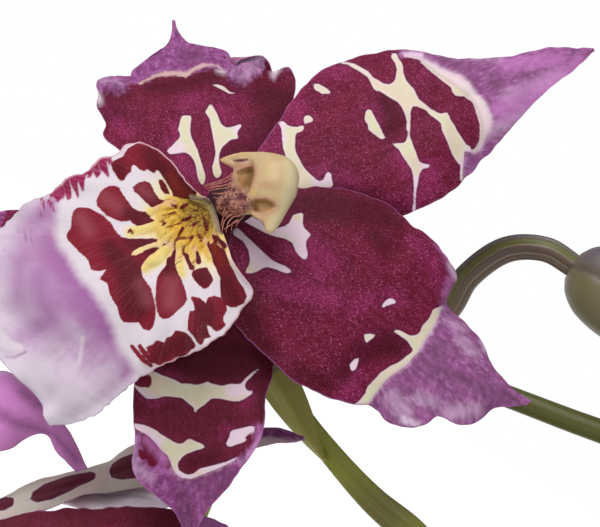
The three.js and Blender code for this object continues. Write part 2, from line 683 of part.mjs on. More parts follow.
function buds() {
  const firstEnd = seen(432, 555, -22);
  const firstWay = firstEnd.clone().sub(seen(408, 530, -22)).normalize();
  const secondEnd = seen(570, 263, -24.5);
  const secondWay = seen(672, 330, -22).sub(secondEnd).normalize();
  const gap = 0.3;
  return [
    bud('bud_1', firstEnd.clone().addScaledVector(firstWay, gap), firstEnd.clone()
      .addScaledVector(firstWay, 25), 6.2),
    bud('bud_2', secondEnd.clone().addScaledVector(secondWay, gap), secondEnd.clone()
      .addScaledVector(secondWay, 22), 5.9),
    bud('bud_3', vec(70.3, -8.9, 504.3), vec(79, -6, 513), 3.4, 7),
    bud('bud_4', vec(80.4, -14.05, 483.7), vec(90, -16, 476), 2.7, 7),
  ];
}

// pseudobulbs and leaves
const bulbs = [
  { name: 'pseudobulb_1', x: 16, y: -8, height: 66, half: [17, 9.5], turn: 0.15, tilt: 3 },
  { name: 'pseudobulb_2', x: -9, y: 6, height: 72, half: [16, 9], turn: 0.5, tilt: -2 },
  { name: 'pseudobulb_3', x: -31, y: 15, height: 56, half: [13, 8], turn: 0.9, tilt: -5 },
];
const bulbSink = 8;

function bulbRing(bulb, height, a, spread, grow) {
  const ridge = 1 + 0.045 * Math.cos(6 * a);
  const c = Math.cos(a) * (bulb.half[0] * spread * ridge + grow);
  const s = Math.sin(a) * (bulb.half[1] * spread * ridge + grow);
  return vec(bulb.x + c * Math.cos(bulb.turn) - s * Math.sin(bulb.turn) + (bulb.tilt * height) / bulb.height,
    bulb.y + c * Math.sin(bulb.turn) + s * Math.cos(bulb.turn), bedTop + height);
}

function ringsOf(bulb, shape, grow, sides) {
  return shape.map(([h, spread]) => {
    const ring = [];
    for (let j = 0; j < sides; j++) ring.push(bulbRing(bulb, h, (j / sides) * 2 * Math.PI, spread, grow));
    return ring;
  });
}

function pseudobulb(bulb) {
  const h = bulb.height;
  const shape = [[-bulbSink, 0.72], [4, 0.8], [0.18 * h, 0.95], [0.36 * h, 1], [0.55 * h, 0.93],
    [0.74 * h, 0.74], [0.9 * h, 0.5], [h, 0.36]];
  return plain(bulb.name, loft(ringsOf(bulb, shape, 0, 12)), bulbGreen, 0.45);
}

const leaves = [
  { name: 'leaf_1', bulb: 0, offset: [1.4, -1.7], azimuth: -64, length: 250, width: 31, rise: [70, -48] },
  { name: 'leaf_2', bulb: 0, offset: [-1.4, 1.7], azimuth: 38, length: 240, width: 29, rise: [86, 10] },
  { name: 'leaf_3', bulb: 1, offset: [1.4, 1.7], azimuth: 98, length: 290, width: 32, rise: [85, 2] },
  { name: 'leaf_4', bulb: 1, offset: [-1.4, -1.7], azimuth: 194, length: 275, width: 31, rise: [82, -30] },
  { name: 'leaf_5', bulb: 2, offset: [0, 0], azimuth: 165, length: 230, width: 27, rise: [80, -45] },
  { name: 'leaf_6', foot: [30, 3], lift: 1.3, azimuth: -4, length: 215, width: 26, rise: [76, -40] },
  { name: 'leaf_7', foot: [-1, -15], lift: 1.26, azimuth: -118, length: 190, width: 25, rise: [74, -40] },
  { name: 'leaf_8', foot: [-18, 27], lift: 0.8, azimuth: 112, length: 200, width: 25, rise: [78, -8] },
];

function leaf(spec) {
  const rows = 11;
  const cols = 4;
  const turn = THREE.MathUtils.degToRad(spec.azimuth);
  const outward = vec(Math.cos(turn), Math.sin(turn), 0);
  const over = vec(-Math.sin(turn), Math.cos(turn), 0);
  let p;
  if (spec.bulb === undefined) {
    p = vec(spec.foot[0], spec.foot[1], bedHeight(Math.hypot(...spec.foot)) + spec.lift);
  } else {
    const bulb = bulbs[spec.bulb];
    p = vec(bulb.x + bulb.tilt + spec.offset[0], bulb.y + spec.offset[1], bedTop + bulb.height + seatGap + 0.75);
  }
  const grid = [];
  const step = spec.length / rows;
  for (let i = 0; i <= rows; i++) {
    const u = i / rows;
    const rise = THREE.MathUtils.degToRad(spec.rise[0] + (spec.rise[1] - spec.rise[0]) * u ** 1.5);
    const along = outward.clone().multiplyScalar(Math.cos(rise)).add(vec(0, 0, Math.sin(rise)));
    const face = over.clone().cross(along).multiplyScalar(-1);
    const half = 0.5 * spec.width * Math.min(1, 0.3 + 1.5 * u) * Math.sqrt(Math.max(0, 1 - u ** 3.2)) + 0.35;
    const foldAngle = THREE.MathUtils.degToRad(52 - 40 * Math.min(1, 1.4 * u));
    const row = [];
    for (let j = 0; j <= cols; j++) {
      const t = (2 * j) / cols - 1;
      const ripple = 1.1 * Math.abs(t) * Math.sin(9 * u + spec.azimuth + (t > 0 ? 1.3 : 0)) * Math.sin(3 * u);
      row.push(p.clone().addScaledVector(over, t * half * Math.cos(foldAngle))
        .addScaledVector(face, -Math.abs(t) * half * Math.sin(foldAngle) + ripple));
    }
    grid.push(row);
    p = p.clone().addScaledVector(along, step);
  }
  return plain(spec.name, sheet(grid, 0.9), darkGreen, 0.45);
}

// bark bed and pot
function lathe(profile, segments) {
  return new THREE.LatheGeometry(profile.map(([r, z]) => new THREE.Vector2(r, z)), segments)
    .rotateX(Math.PI / 2);
}

function bedHeight(radius) {
  // the bed falls a little toward the wall
  return bedTop - 2 * Math.max(0, (radius - 22) / 22);
}

function barkBed() {
  const bed = lathe([[0, 6.3], [potFootRadius - potWall - 0.9, 6.3], [51.4, 90], [51.6, 92],
    [44, bedTop - 2], [22, bedTop], [0, bedTop]], 26);
  const draw = seededDraw(5);
  const chips = [];
  let tries = 0;
  while (chips.length < 26 && tries < 900) {
    tries += 1;
    const a = draw() * 2 * Math.PI;
    const r = 46 * Math.sqrt(draw());
    const [x, y] = [r * Math.cos(a), r * Math.sin(a)];
    const size = [7 + 7 * draw(), 4 + 4 * draw(), 2.5 + 2.5 * draw()];
    const reach = Math.hypot(size[0], size[1]) / 2 + 1;
    const nearBulb = bulbs.some((b) => Math.hypot((x - b.x), (y - b.y) * 1.3) < b.half[0] + reach);
    const nearFoot = leaves.some((l) => l.foot && Math.hypot(x - l.foot[0], y - l.foot[1]) < 4.5 + reach);
    const nearSpike = Math.hypot(x - spikeFoot.x, y - spikeFoot.y) < 3.4 + reach;
    const close = chips.some((c) => Math.hypot(x - c.x, y - c.y) < 6.5);
    if (nearBulb || nearFoot || nearSpike || close || r + reach > 50) continue;
    const chip = new THREE.BoxGeometry(...size);
    chip.rotateX((draw() - 0.5) * 0.5);
    chip.rotateY((draw() - 0.5) * 0.5);
    chip.rotateZ(draw() * Math.PI);
    chip.translate(x, y, bedTop - (r > 30 ? 0.9 : 0) + 0.2);
    chips.push({ x, y, chip });
  }
  let whole = toSolid(bed);
  for (const { chip } of chips) whole = whole.add(toSolid(chip));
  for (const bulb of bulbs) {
    const hole = loft(ringsOf(bulb, [[-bulbSink - seatGap, 0.72], [4, 0.8], [12, 0.9]], 0.35, 12));
    whole = whole.subtract(toSolid(hole));
  }
  const spikeHole = tube([spikeFoot.clone().add(vec(0, 0, -seatGap)), vec(36.2, -17.8, bedTop + 2)],
    [2.95, 2.95], 12, 1, vec(0, 1, 0));
  whole = whole.subtract(toSolid(spikeHole));
  return plain('bark_bed', fromSolid(whole), barkBrown, 0.9);
}

function pot() {
  const inner = potFootRadius - potWall;
  const profile = [[0, 0], [potFootRadius - 1.5, 0], [potFootRadius, 1.5], [55.5, 91], [59.5, 92.5],
    [potRimRadius, 94.5], [potRimRadius, potHeight - 2], [potRimRadius - 2, potHeight],
    [potRimRadius - 5, potHeight], [55, 108], [52, 92], [inner, 6], [0, 6]];
  let body = toSolid(lathe(profile, 36));
  for (let i = 0; i < 5; i++) {
    const a = (i / 5) * 2 * Math.PI + 0.3;
    const hole = new THREE.CylinderGeometry(4, 4, 10, 12).rotateX(Math.PI / 2);
    hole.translate(24 * Math.cos(a), 24 * Math.sin(a), 3);
    body = body.subtract(toSolid(hole));
  }
  return plain('pot', fromSolid(body), clay, 0.85);
}

// the whole plant
const group = new THREE.Group();
group.add(pot(), barkBed());
for (const bulb of bulbs) group.add(pseudobulb(bulb));
for (const spec of leaves) group.add(leaf(spec));
group.add(flowerSpike());
for (const mesh of buds()) group.add(mesh);
for (const mesh of topBloom()) group.add(mesh);
for (const mesh of behindBloom()) group.add(mesh);
for (const bloom of lowerBlooms) {
  for (const mesh of lowerBloom(bloom)) group.add(mesh);
}

export default group;
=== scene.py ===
import bpy
import bmesh
import math
import numpy as np
from mathutils import Matrix, Vector


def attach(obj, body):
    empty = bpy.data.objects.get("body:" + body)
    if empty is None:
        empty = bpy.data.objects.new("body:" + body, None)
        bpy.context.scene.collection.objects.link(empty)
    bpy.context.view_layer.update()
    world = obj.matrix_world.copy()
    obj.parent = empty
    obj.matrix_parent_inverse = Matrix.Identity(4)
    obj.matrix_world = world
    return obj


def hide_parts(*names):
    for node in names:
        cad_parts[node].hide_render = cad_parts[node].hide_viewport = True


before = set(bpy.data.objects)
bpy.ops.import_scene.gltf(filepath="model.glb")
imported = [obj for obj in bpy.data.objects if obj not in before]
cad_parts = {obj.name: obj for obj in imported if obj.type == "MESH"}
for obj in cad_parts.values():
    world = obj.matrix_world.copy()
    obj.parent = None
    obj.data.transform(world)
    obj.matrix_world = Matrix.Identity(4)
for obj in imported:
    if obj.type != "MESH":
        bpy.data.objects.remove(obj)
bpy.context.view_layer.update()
mm = 0.001

# the top bloom's own frame: outline points (across, down) as seen from in front, and a depth
bloomFrame = dict(
    at=(-12.0, -34.0, 500.0), scale=8.5, middle=(232.0, 208.0), eye=(8.0, -6.5, 480.0),
    lean=30.0, planeDepth=-3.6, planeSlope=(0.048, -0.659),
)
lean = math.radians(bloomFrame["lean"])
acrossAxis = np.array([math.cos(lean), 0, math.sin(lean)])
upAxis = np.array([-math.sin(lean), 0, math.cos(lean)])
eyeAxis = np.array([0.0, -1.0, 0.0])
topBloomAt = np.array(bloomFrame["at"])
slope = bloomFrame["planeSlope"]


# curves and frames
def unit(v):
    v = np.asarray(v, float)
    return v / np.linalg.norm(v)


def unitRows(v):
    return v / np.maximum(np.linalg.norm(v, axis=-1, keepdims=True), 1e-9)


def alongPoints(points, u):
    # a smooth curve through the points, for an array of u from 0 to 1
    points = np.asarray(points, float)
    if points.ndim == 1:
        points = points[:, None]
    last = len(points) - 1
    padded = np.vstack([2 * points[0] - points[1], points, 2 * points[last] - points[last - 1]])
    k = np.clip(np.asarray(u, float), 0, 1) * last
    i = np.minimum(k.astype(int), last - 1)
    f = (k - i)[:, None]
    a, b, c, d = padded[i], padded[i + 1], padded[i + 2], padded[i + 3]
    return 0.5 * (2 * b + (c - a) * f + (2 * a - 5 * b + 4 * c - d) * f ** 2
                  + (3 * b - a - 3 * c + d) * f ** 3)


def framePoint(across, down, depth):
    f = bloomFrame
    x = (across - f["middle"][0]) / f["scale"]
    y = (f["middle"][1] - down) / f["scale"]
    ex, ey, ez = f["eye"]
    nearer = (ez - depth) / ez
    return np.array([ex + (x - ex) * nearer, ey + (y - ey) * nearer, depth])


def bloomPoint(raw):
    across, down, lift = raw
    x = (across - bloomFrame["middle"][0]) / bloomFrame["scale"]
    y = (bloomFrame["middle"][1] - down) / bloomFrame["scale"]
    return framePoint(across, down, bloomFrame["planeDepth"] + slope[0] * x + slope[1] * y + lift)


def toWorld(p):
    return topBloomAt + acrossAxis * p[0] + upAxis * p[1] + eyeAxis * p[2]


def seen(across, down, depth):
    return toWorld(framePoint(across, down, depth))


def outlinePlace(points):
    # the outline point at which the eye sees each point of the bloom's frame
    ex, ey, ez = bloomFrame["eye"]
    nearer = ez / (ez - points[..., 2])
    x = ex + (points[..., 0] - ex) * nearer
    y = ey + (points[..., 1] - ey) * nearer
    s = bloomFrame["scale"]
    return np.stack([bloomFrame["middle"][0] + s * x, bloomFrame["middle"][1] - s * y], -1)


def seededDraw(seed):
    state = [seed & 0xFFFFFFFF]

    def times(a, b):
        return (a * b) & 0xFFFFFFFF

    def draw():
        state[0] = (state[0] + 0x6D2B79F5) & 0xFFFFFFFF
        t = state[0]
        t = times(t ^ (t >> 15), t | 1)
        t ^= (t + times(t ^ (t >> 7), t | 61)) & 0xFFFFFFFF
        return ((t ^ (t >> 14)) & 0xFFFFFFFF) / 4294967296
    return draw


def softNoise(points, size, seed):
    # smooth noise from about -1 to 1 at points of any dimension, repeats after 64 cells
    rng = np.random.default_rng(seed)
    cells = rng.uniform(-1, 1, (64, 64, 64))
    p = np.asarray(points, float) / size
    if p.shape[-1] == 2:
        p = np.concatenate([p, np.zeros_like(p[..., :1])], -1)
    base = np.floor(p).astype(int)
    f = p - base
    f = f * f * (3 - 2 * f)
    total = 0
    for dx in (0, 1):
        for dy in (0, 1):
            for dz in (0, 1):
                w = ((f[..., 0] if dx else 1 - f[..., 0]) * (f[..., 1] if dy else 1 - f[..., 1])
                     * (f[..., 2] if dz else 1 - f[..., 2]))
                total = total + w * cells[(base[..., 0] + dx) % 64, (base[..., 1] + dy) % 64,
                                          (base[..., 2] + dz) % 64]
    return total


# mesh making
def newPiece(name, made, replaced, material):
    # made: points in mm, faces, and values at the points for the material
    points, faces, values = made
    mesh = bpy.data.meshes.new(name)
    mesh.from_pydata((np.asarray(points) * mm).tolist(), [], [list(f) for f in faces])
    mesh.update()
    for poly in mesh.polygons:
        poly.use_smooth = True
    for key, array in values.items():
        array = np.asarray(array, np.float32)
        kind, field = ("FLOAT_VECTOR", "vector") if array.ndim == 2 else ("FLOAT", "value")
        mesh.attributes.new(key, kind, "POINT").data.foreach_set(field, array.ravel())
    mesh.materials.append(material)
    piece = bpy.data.objects.new(name, mesh)
    bpy.context.scene.collection.objects.link(piece)
    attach(piece, "root")
    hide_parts(*replaced)
    return piece


def gridNormals(grid):
    return unitRows(np.cross(np.gradient(grid, axis=0), np.gradient(grid, axis=1)))


def sideBySide(*parts):
    # the parts at each point of a grid, however each of them is spread over it
    return np.stack(np.broadcast_arrays(*parts), -1)


def ringFaces(rows, sides, closed=True, inward=False):
    # faces round a stack of rings, and one over each end if closed
    index = np.arange(rows * sides).reshape(rows, sides)
    after = np.roll(index, -1, axis=1)
    corners = [index[:-1], after[:-1], after[1:], index[1:]]
    if inward:
        corners = [corners[k] for k in (0, 3, 2, 1)]
    faces = np.stack(corners, -1).reshape(-1, 4).tolist()
    return faces + ([index[0, ::-1].tolist(), index[-1].tolist()] if closed else [])


def closedSheet(grid, thickness, values):
    # points, faces and values of a thin closed blade on a grid
    rows, cols = grid.shape[:2]
    n = gridNormals(grid)
    half = rows * cols
    t = np.broadcast_to(np.asarray(thickness, float), (rows, cols))[..., None]
    front = (grid + n * t / 2).reshape(-1, 3)
    back = (grid - n * t / 2).reshape(-1, 3)
    index = np.arange(half).reshape(rows, cols)
    a, b = index[:-1, :-1].ravel(), index[1:, :-1].ravel()
    c, d = index[1:, 1:].ravel(), index[:-1, 1:].ravel()
    faces = np.vstack([np.stack([a, b, c, d], 1), np.stack([a, d, c, b], 1) + half])
    rim = np.concatenate([index[0, :-1], index[:-1, -1], index[-1, :0:-1], index[:0:-1, 0]])
    after = np.roll(rim, -1)
    faces = np.vstack([faces, np.stack([rim, after, after + half, rim + half], 1)])
    both = {k: np.concatenate([v.reshape(half, -1), v.reshape(half, -1)]).squeeze()
            for k, v in values.items()}
    both["under"] = np.concatenate([np.zeros(half), np.ones(half)])
    return np.vstack([front, back]), faces, both


def joinParts(parts):
    points, faces, values, start = [], [], {}, 0
    for p, f, v in parts:
        points.append(p)
        faces.extend((np.asarray(face) + start).tolist() for face in f)
        for k, array in v.items():
            values.setdefault(k, []).append(array)
        start += len(p)
    return np.vstack(points), faces, {k: np.concatenate(v) for k, v in values.items()}


def stem(points, radii, sides, steps, side=(0, 1, 0), ribs=0, ribDepth=0.0):
    # a closed stem through the points; ribs run along it
    u = np.linspace(0, 1, steps + 1)
    path = alongPoints(points, u)
    radius = alongPoints(radii, u)[:, 0]
    tangent = np.gradient(path, axis=0)
    tangent /= np.linalg.norm(tangent, axis=1, keepdims=True)
    length = np.concatenate([[0], np.cumsum(np.linalg.norm(np.diff(path, axis=0), axis=1))])
    side = np.asarray(side, float)
    rings = []
    angle = np.arange(sides) / sides * 2 * math.pi
    for i in range(steps + 1):
        side = unit(side - tangent[i] * side.dot(tangent[i]))
        other = np.cross(tangent[i], side)
        r = radius[i] * (1 + ribDepth * np.cos(ribs * angle + 0.02 * length[i]))
        rings.append(path[i] + np.outer(r * np.cos(angle), side) + np.outer(r * np.sin(angle), other))
    grid = np.array(rings)
    # how far a point lies to one side of the line, as the eye sees it, -1 to 1
    outward = unitRows(np.cross(eyeAxis, tangent))
    over = np.einsum("ijk,ik->ij", grid - path[:, None], outward) / radius[:, None]
    grain = sideBySide(angle * 2, length[:, None], 1.0)
    return grid.reshape(-1, 3), ringFaces(steps + 1, sides), dict(
        grain=grain.reshape(-1, 3), over=over.ravel(), along=np.repeat(u, sides))


# shader wiring
def tint(r, g, b, a=1.0):
    # a colour given as seen on a screen, 0 to 255
    def line(c):
        c /= 255
        return c / 12.92 if c <= 0.04045 else ((c + 0.055) / 1.055) ** 2.4
    return (line(r), line(g), line(b), a)


class Wire:
    # a socket with arithmetic
    def __init__(self, paint, socket):
        self.paint = paint
        self.socket = socket

    def math(self, operation, *others):
        return self.paint.node("ShaderNodeMath", dict(operation=operation),
                               dict(enumerate((self,) + others)))

    def __add__(self, other):
        return self.math("ADD", other)

    __radd__ = __add__

    def __mul__(self, other):
        return self.math("MULTIPLY", other)

    __rmul__ = __mul__

    def __sub__(self, other):
        return self.math("SUBTRACT", other)

    def __rsub__(self, other):
        return self.paint.node("ShaderNodeMath", dict(operation="SUBTRACT"), {0: other, 1: self})

    def step(self, low, high):
        # 0 below low, 1 above high, smooth between
        return self.paint.node("ShaderNodeMapRange", dict(interpolation_type="SMOOTHSTEP"),
                               {"Value": self, "From Min": low, "From Max": high})


class Paint:
    # one material and its node tree; a finish holds its colours by name
    def __init__(self, name, finish=()):
        self.tints = {k: tint(*finish[k]) for k in finish if isinstance(finish[k], tuple)}
        self.material = bpy.data.materials.new(name)
        self.material.use_nodes = True
        self.tree = self.material.node_tree
        self.tree.nodes.clear()

    def node(self, kind, settings, sockets, out=0):
        n = self.tree.nodes.new(kind)
        for key, value in settings.items():
            if key == "stops":
                ramp = n.color_ramp
                while len(ramp.elements) < len(value):
                    ramp.elements.new(0.5)
                for element, (place, colour) in zip(ramp.elements, value):
                    element.position = place
                    element.color = colour
            else:
                setattr(n, key, value)
        for key, value in sockets.items():
            if isinstance(value, Wire):
                self.tree.links.new(value.socket, n.inputs[key])
            else:
                n.inputs[key].default_value = value
        return Wire(self, n.outputs[out])

    def value(self, name):
        return self.node("ShaderNodeAttribute", dict(attribute_name=name), {}, "Fac")

    def vector(self, name):
        return self.node("ShaderNodeAttribute", dict(attribute_name=name), {}, "Vector")

    def place(self):
        return self.node("ShaderNodeTexCoord", {}, {}, "Object")

    def stretched(self, vector, x, y, z):
        return self.node("ShaderNodeVectorMath", dict(operation="MULTIPLY"), {0: vector, 1: (x, y, z)})

    def noise(self, vector, scale, detail=2.0, rough=0.5):
        return self.node("ShaderNodeTexNoise", {}, {
            "Vector": vector, "Scale": scale, "Detail": detail, "Roughness": rough})

    def mix(self, factor, first, second):
        # the node itself keeps the factor between 0 and 1
        first, second = (self.tints[c] if isinstance(c, str) else c for c in (first, second))
        return self.node("ShaderNodeMix", dict(data_type="RGBA"), {0: factor, 6: first, 7: second}, 2)

    def layers(self, colour, rows):
        # coats laid over a colour, each with its mask
        for mask, coat in rows:
            colour = self.mix(mask, colour, coat)
        return colour

    def bump(self, height, strength, distance):
        return self.node("ShaderNodeBump", {}, {"Height": height, "Strength": strength,
                                                "Distance": distance}, "Normal")

    def finish(self, colour, roughness, normal=None, **uniform):
        sockets = {"Base Color": colour, "Roughness": roughness}
        if normal:
            sockets["Normal"] = normal
        sockets.update({k.replace("_", " "): v for k, v in uniform.items()})
        shader = self.node("ShaderNodeBsdfPrincipled", {}, sockets)
        output = self.tree.nodes.new("ShaderNodeOutputMaterial")
        self.tree.links.new(shader.socket, output.inputs["Surface"])
        return self.material


# marks: how deep a point lies inside the listed strokes and patches
def toSegment(places, start, end):
    # how far each place is from a straight piece, and how far along it that is, 0 to 1
    dx, dy = end[0] - start[0], end[1] - start[1]
    x, y = places[..., 0] - start[0], places[..., 1] - start[1]
    k = np.clip((x * dx + y * dy) / max(dx * dx + dy * dy, 1e-6), 0, 1)
    return np.hypot(x - k * dx, y - k * dy), k


def insideStroke(places, stroke):
    # stroke: (across, down, half width) points; the result is positive inside, in outline units
    best = np.full(places.shape[:-1], -1e3)
    for a, b in zip(stroke[:-1], stroke[1:]):
        away, k = toSegment(places, a, b)
        best = np.maximum(best, a[2] + k * (b[2] - a[2]) - away)
    return best


def insidePatch(places, corners):
    inside = np.zeros(places.shape[:-1], bool)
    near = np.full(places.shape[:-1], 1e3)
    x, y = places[..., 0], places[..., 1]
    for a, b in zip(corners, corners[1:] + corners[:1]):
        near = np.minimum(near, toSegment(places, a, b)[0])
        dx, dy = b[0] - a[0], b[1] - a[1]
        safe = dy if abs(dy) > 1e-9 else 1e-9
        inside ^= ((a[1] > y) != (b[1] > y)) & (x < dx * (y - a[1]) / safe + a[0])
    return np.where(inside, near, -near)


def insideAny(places, strokes=(), patches=()):
    best = np.full(places.shape[:-1], -60.0)
    for stroke in strokes:
        best = np.maximum(best, insideStroke(places, stroke))
    for corners in patches:
        best = np.maximum(best, insidePatch(places, corners))
    return best


# the camera, the floor and the lights
stage = dict(
    white=(1.0, 1.0, 1.0, 1.0), skyStrength=0.42, sunStrength=3.3, sunSpread=50.0,
    sunFrom=(-0.5, -0.5, 0.8), floorSize=60.0, photoWide=600, sensor=36, nearest=0.02, farthest=200,
)


def lookFrom(place, target):
    return (Vector(target) - Vector(place)).to_track_quat("-Z", "Y").to_matrix().to_4x4()


def makeStage():
    scene = bpy.context.scene
    scene.view_settings.view_transform = "Standard"
    world = bpy.data.worlds.new("studio")
    world.use_nodes = True
    # a white backdrop that gives less light than it shows
    nodes, links = world.node_tree.nodes, world.node_tree.links
    sky = nodes["Background"]
    sky.inputs["Color"].default_value = stage["white"]
    sky.inputs["Strength"].default_value = stage["skyStrength"]
    backdrop = nodes.new("ShaderNodeBackground")
    backdrop.inputs["Color"].default_value = stage["white"]
    ray, both = nodes.new("ShaderNodeLightPath"), nodes.new("ShaderNodeMixShader")
    links.new(ray.outputs["Is Camera Ray"], both.inputs[0])
    links.new(sky.outputs[0], both.inputs[1])
    links.new(backdrop.outputs[0], both.inputs[2])
    links.new(both.outputs[0], nodes["World Output"].inputs["Surface"])
    scene.world = world
    light = bpy.data.lights.new("softSun", "SUN")
    light.energy = stage["sunStrength"]
    light.angle = math.radians(stage["sunSpread"])
    sun = bpy.data.objects.new("softSun", light)
    sun.matrix_world = lookFrom(stage["sunFrom"], (0, 0, 0))
    scene.collection.objects.link(sun)
    paint = Paint("paleFloor")
    cloud = paint.noise(paint.place(), 3.0)
    grey = paint.mix(cloud, tint(246, 246, 247), tint(250, 250, 250))
    floorMesh = bpy.data.meshes.new("floor")
    h = stage["floorSize"] / 2
    floorMesh.from_pydata([(-h, -h, 0), (h, -h, 0), (h, h, 0), (-h, h, 0)], [], [(0, 1, 2, 3)])
    floorMesh.materials.append(paint.finish(grey, 0.9))
    floor = bpy.data.objects.new("floor", floorMesh)
    scene.collection.objects.link(floor)
    camera = bpy.data.cameras.new("camera")
    camera.sensor_width = stage["sensor"]
    camera.lens = stage["sensor"] * bloomFrame["eye"][2] / (stage["photoWide"] / bloomFrame["scale"])
    camera.clip_start = stage["nearest"]
    camera.clip_end = stage["farthest"]
    eye = toWorld(bloomFrame["eye"]) * mm
    viewer = bpy.data.objects.new("camera", camera)
    turn = Matrix((acrossAxis, upAxis, eyeAxis)).transposed().to_4x4()
    viewer.matrix_world = Matrix.Translation(eye) @ turn
    scene.collection.objects.link(viewer)
    scene.camera = viewer
    print("stage ready")


makeStage()

# the five tepals of a bloom: margins and midrib as (across, down, lift), and their markings; their dark
# strokes are painted shade where a tepal curves away or lies under another part
dorsalSepal = dict(
    left=[(231, 190, 0), (270, 134, -2), (316, 73, -4.5), (378, 54.5, -6.5), (446, 57.5, -7),
          (511, 54, -8.5), (556, 48, -10), (594, 48, -11)],
    midrib=[(236, 199, 0), (291, 176, -0.8), (350, 149, -2), (410, 123, -3.2), (464, 98, -5),
            (519, 76, -7.5), (560, 61, -9.5), (594, 49.5, -11)],
    right=[(243, 206, 0), (307, 214, -3.5), (380, 222, -6.5), (444, 198, -7), (488, 153, -7.5),
           (533, 104, -9), (567, 75, -10), (595, 51, -11)],
    creamPatch=[
        [(342, 62), (348.5, 63), (354.5, 65), (368, 73.5), (373.5, 79), (378, 81), (381.5, 83.5),
         (385.5, 85.5), (389, 86), (393, 84), (395.5, 81), (397, 71), (395.5, 65), (391.5, 59),
         (392.5, 54), (396.5, 55), (398.5, 60.5), (401.5, 64.5), (403, 69), (403, 74), (404.5, 79),
         (407, 83.5), (414, 91.5), (418, 100.5), (429.5, 109), (433.5, 110.5), (438, 113.5),
         (441.5, 114.5), (447, 113.5), (450.5, 122), (454, 126.5), (455.5, 130.5), (465, 144.5),
         (468.5, 146), (470.5, 149), (472.5, 149.5), (476, 147), (478.5, 143.5), (479.5, 139),
         (479.5, 125), (474, 104), (472, 100.5), (468.5, 97.5), (464, 95), (460, 95.5), (455, 95.5),
         (452, 92), (451.5, 88.5), (449, 86), (441, 80), (433.5, 74), (425.5, 68), (421.5, 64.5),
         (420, 61), (404, 58.5), (403, 55), (410, 53.5), (423, 55), (423, 59), (435, 64), (441, 68),
         (457.5, 74.5), (465, 79.5), (476, 91), (486, 102), (491.5, 116), (491.5, 123), (490, 130),
         (486.5, 135.5), (481, 149), (474.5, 152.5), (464, 151), (463, 182), (460.5, 180),
         (460.5, 164.5), (457.5, 162.5), (451.5, 154), (446.5, 144.5), (441, 132), (440.5, 125),
         (425.5, 110.5), (417, 107.5), (412.5, 107.5), (411, 110), (410, 114), (410.5, 128),
         (409.5, 135.5), (418, 162.5), (421.5, 164), (429, 165), (428.5, 167.5), (421.5, 169.5),
         (419.5, 172), (418, 176), (415, 195.5), (415.5, 213), (411.5, 213), (413, 202.5), (413, 185.5),
         (412, 174.5), (410.5, 170), (401.5, 156.5), (399, 151), (392, 144.5), (394, 144), (404, 143.5),
         (406, 141), (408, 135.5), (408, 131.5), (407, 130), (406.5, 121), (405, 115.5), (403, 110.5),
         (400.5, 106.5), (398, 103.5), (390, 99), (379.5, 91.5), (377, 91.5), (373.5, 89.5), (368, 79),
         (360.5, 73.5), (347.5, 65.5), (341, 64.5)],
        [(364.5, 117.5), (365, 114.5), (366.5, 111), (368.5, 110), (371, 111), (379, 125.5),
         (385.5, 137.5), (382, 139), (368.5, 129.5), (367.5, 124.5), (364.5, 121)],
        [(312, 84), (314, 84), (319, 85), (327.5, 90.5), (331.5, 94), (329.5, 95), (322.5, 94.5),
         (315.5, 90)],
        [(304, 117.5), (307, 116), (309.5, 116.5), (312.5, 119), (313.5, 121), (312, 122.5),
         (305, 124.5), (304, 122)],
        [(278, 122), (282, 120.5), (285, 122.5), (288, 126), (292, 127.5), (297, 128), (303, 126.5),
         (304, 128), (303, 131.5), (300, 133), (297, 133.5), (295.5, 135.5), (295, 148), (296, 154),
         (303, 167), (307, 172), (315, 180), (319, 182), (322.5, 181), (326, 174), (328, 173.5),
         (330.5, 175.5), (331, 181), (332.5, 185.5), (331, 187), (319, 191), (312, 192.5), (306, 192),
         (296, 186), (288, 168), (285, 153), (283.5, 150), (281.5, 128)],
    ],
    lilac=[[(398, 40), (400, 57), (420, 60), (424, 65), (441, 77), (452, 84), (466, 93), (473, 100),
            (478, 112), (481, 125), (481, 140), (476, 149), (470, 151), (464, 152), (462, 190),
            (500, 190), (620, 60), (620, 30)]],
    dark=[[(440, 56, 2), (446, 58, 3), (462, 66, 2)], [(492, 80, 3), (499, 88, 3)], [(502, 94, 2)],
          [(330, 190, 3), (380, 203, 4)], [(384, 100, 7), (394, 118, 8), (388, 132, 6)],
          [(530, 80, 3), (575, 58, 2)]],
    rosy=[[(284, 112, 7), (297, 104, 10), (300, 122, 6)], [(318, 74, 5), (345, 72, 6)],
          [(318, 177, 4), (326, 168, 3)], [(270, 148, 6), (278, 135, 4)], [(382, 118, 2), (375, 104, 3)],
          [(430, 68, 3), (420, 80, 4)], [(398, 156, 4), (404, 172, 4)], [(352, 182, 7), (338, 184, 5)],
          [(428, 172, 8), (432, 186, 9), (410, 200, 6)], [(390, 205, 6), (372, 206, 6)]],
    cool=[[(414, 182, 5), (413, 212, 6)], [(422, 166, 3), (430, 166, 3)], [(461, 168, 3), (468, 152, 4)],
          [(402, 53, 4), (420, 55, 4)], [(318, 183, 6), (330, 180, 5)], [(281, 124, 3), (284, 140, 2)]],
    pale=0.02,
    paler=[[(494, 130, 8), (520, 112, 8)], [(440, 51, 3), (500, 58, 4)], [(508, 98, 8), (560, 76, 7)]],
    halo=[[(505, 110, 12), (540, 88, 10), (580, 62, 6)], [(505, 66, 6), (560, 60, 6)]],
)
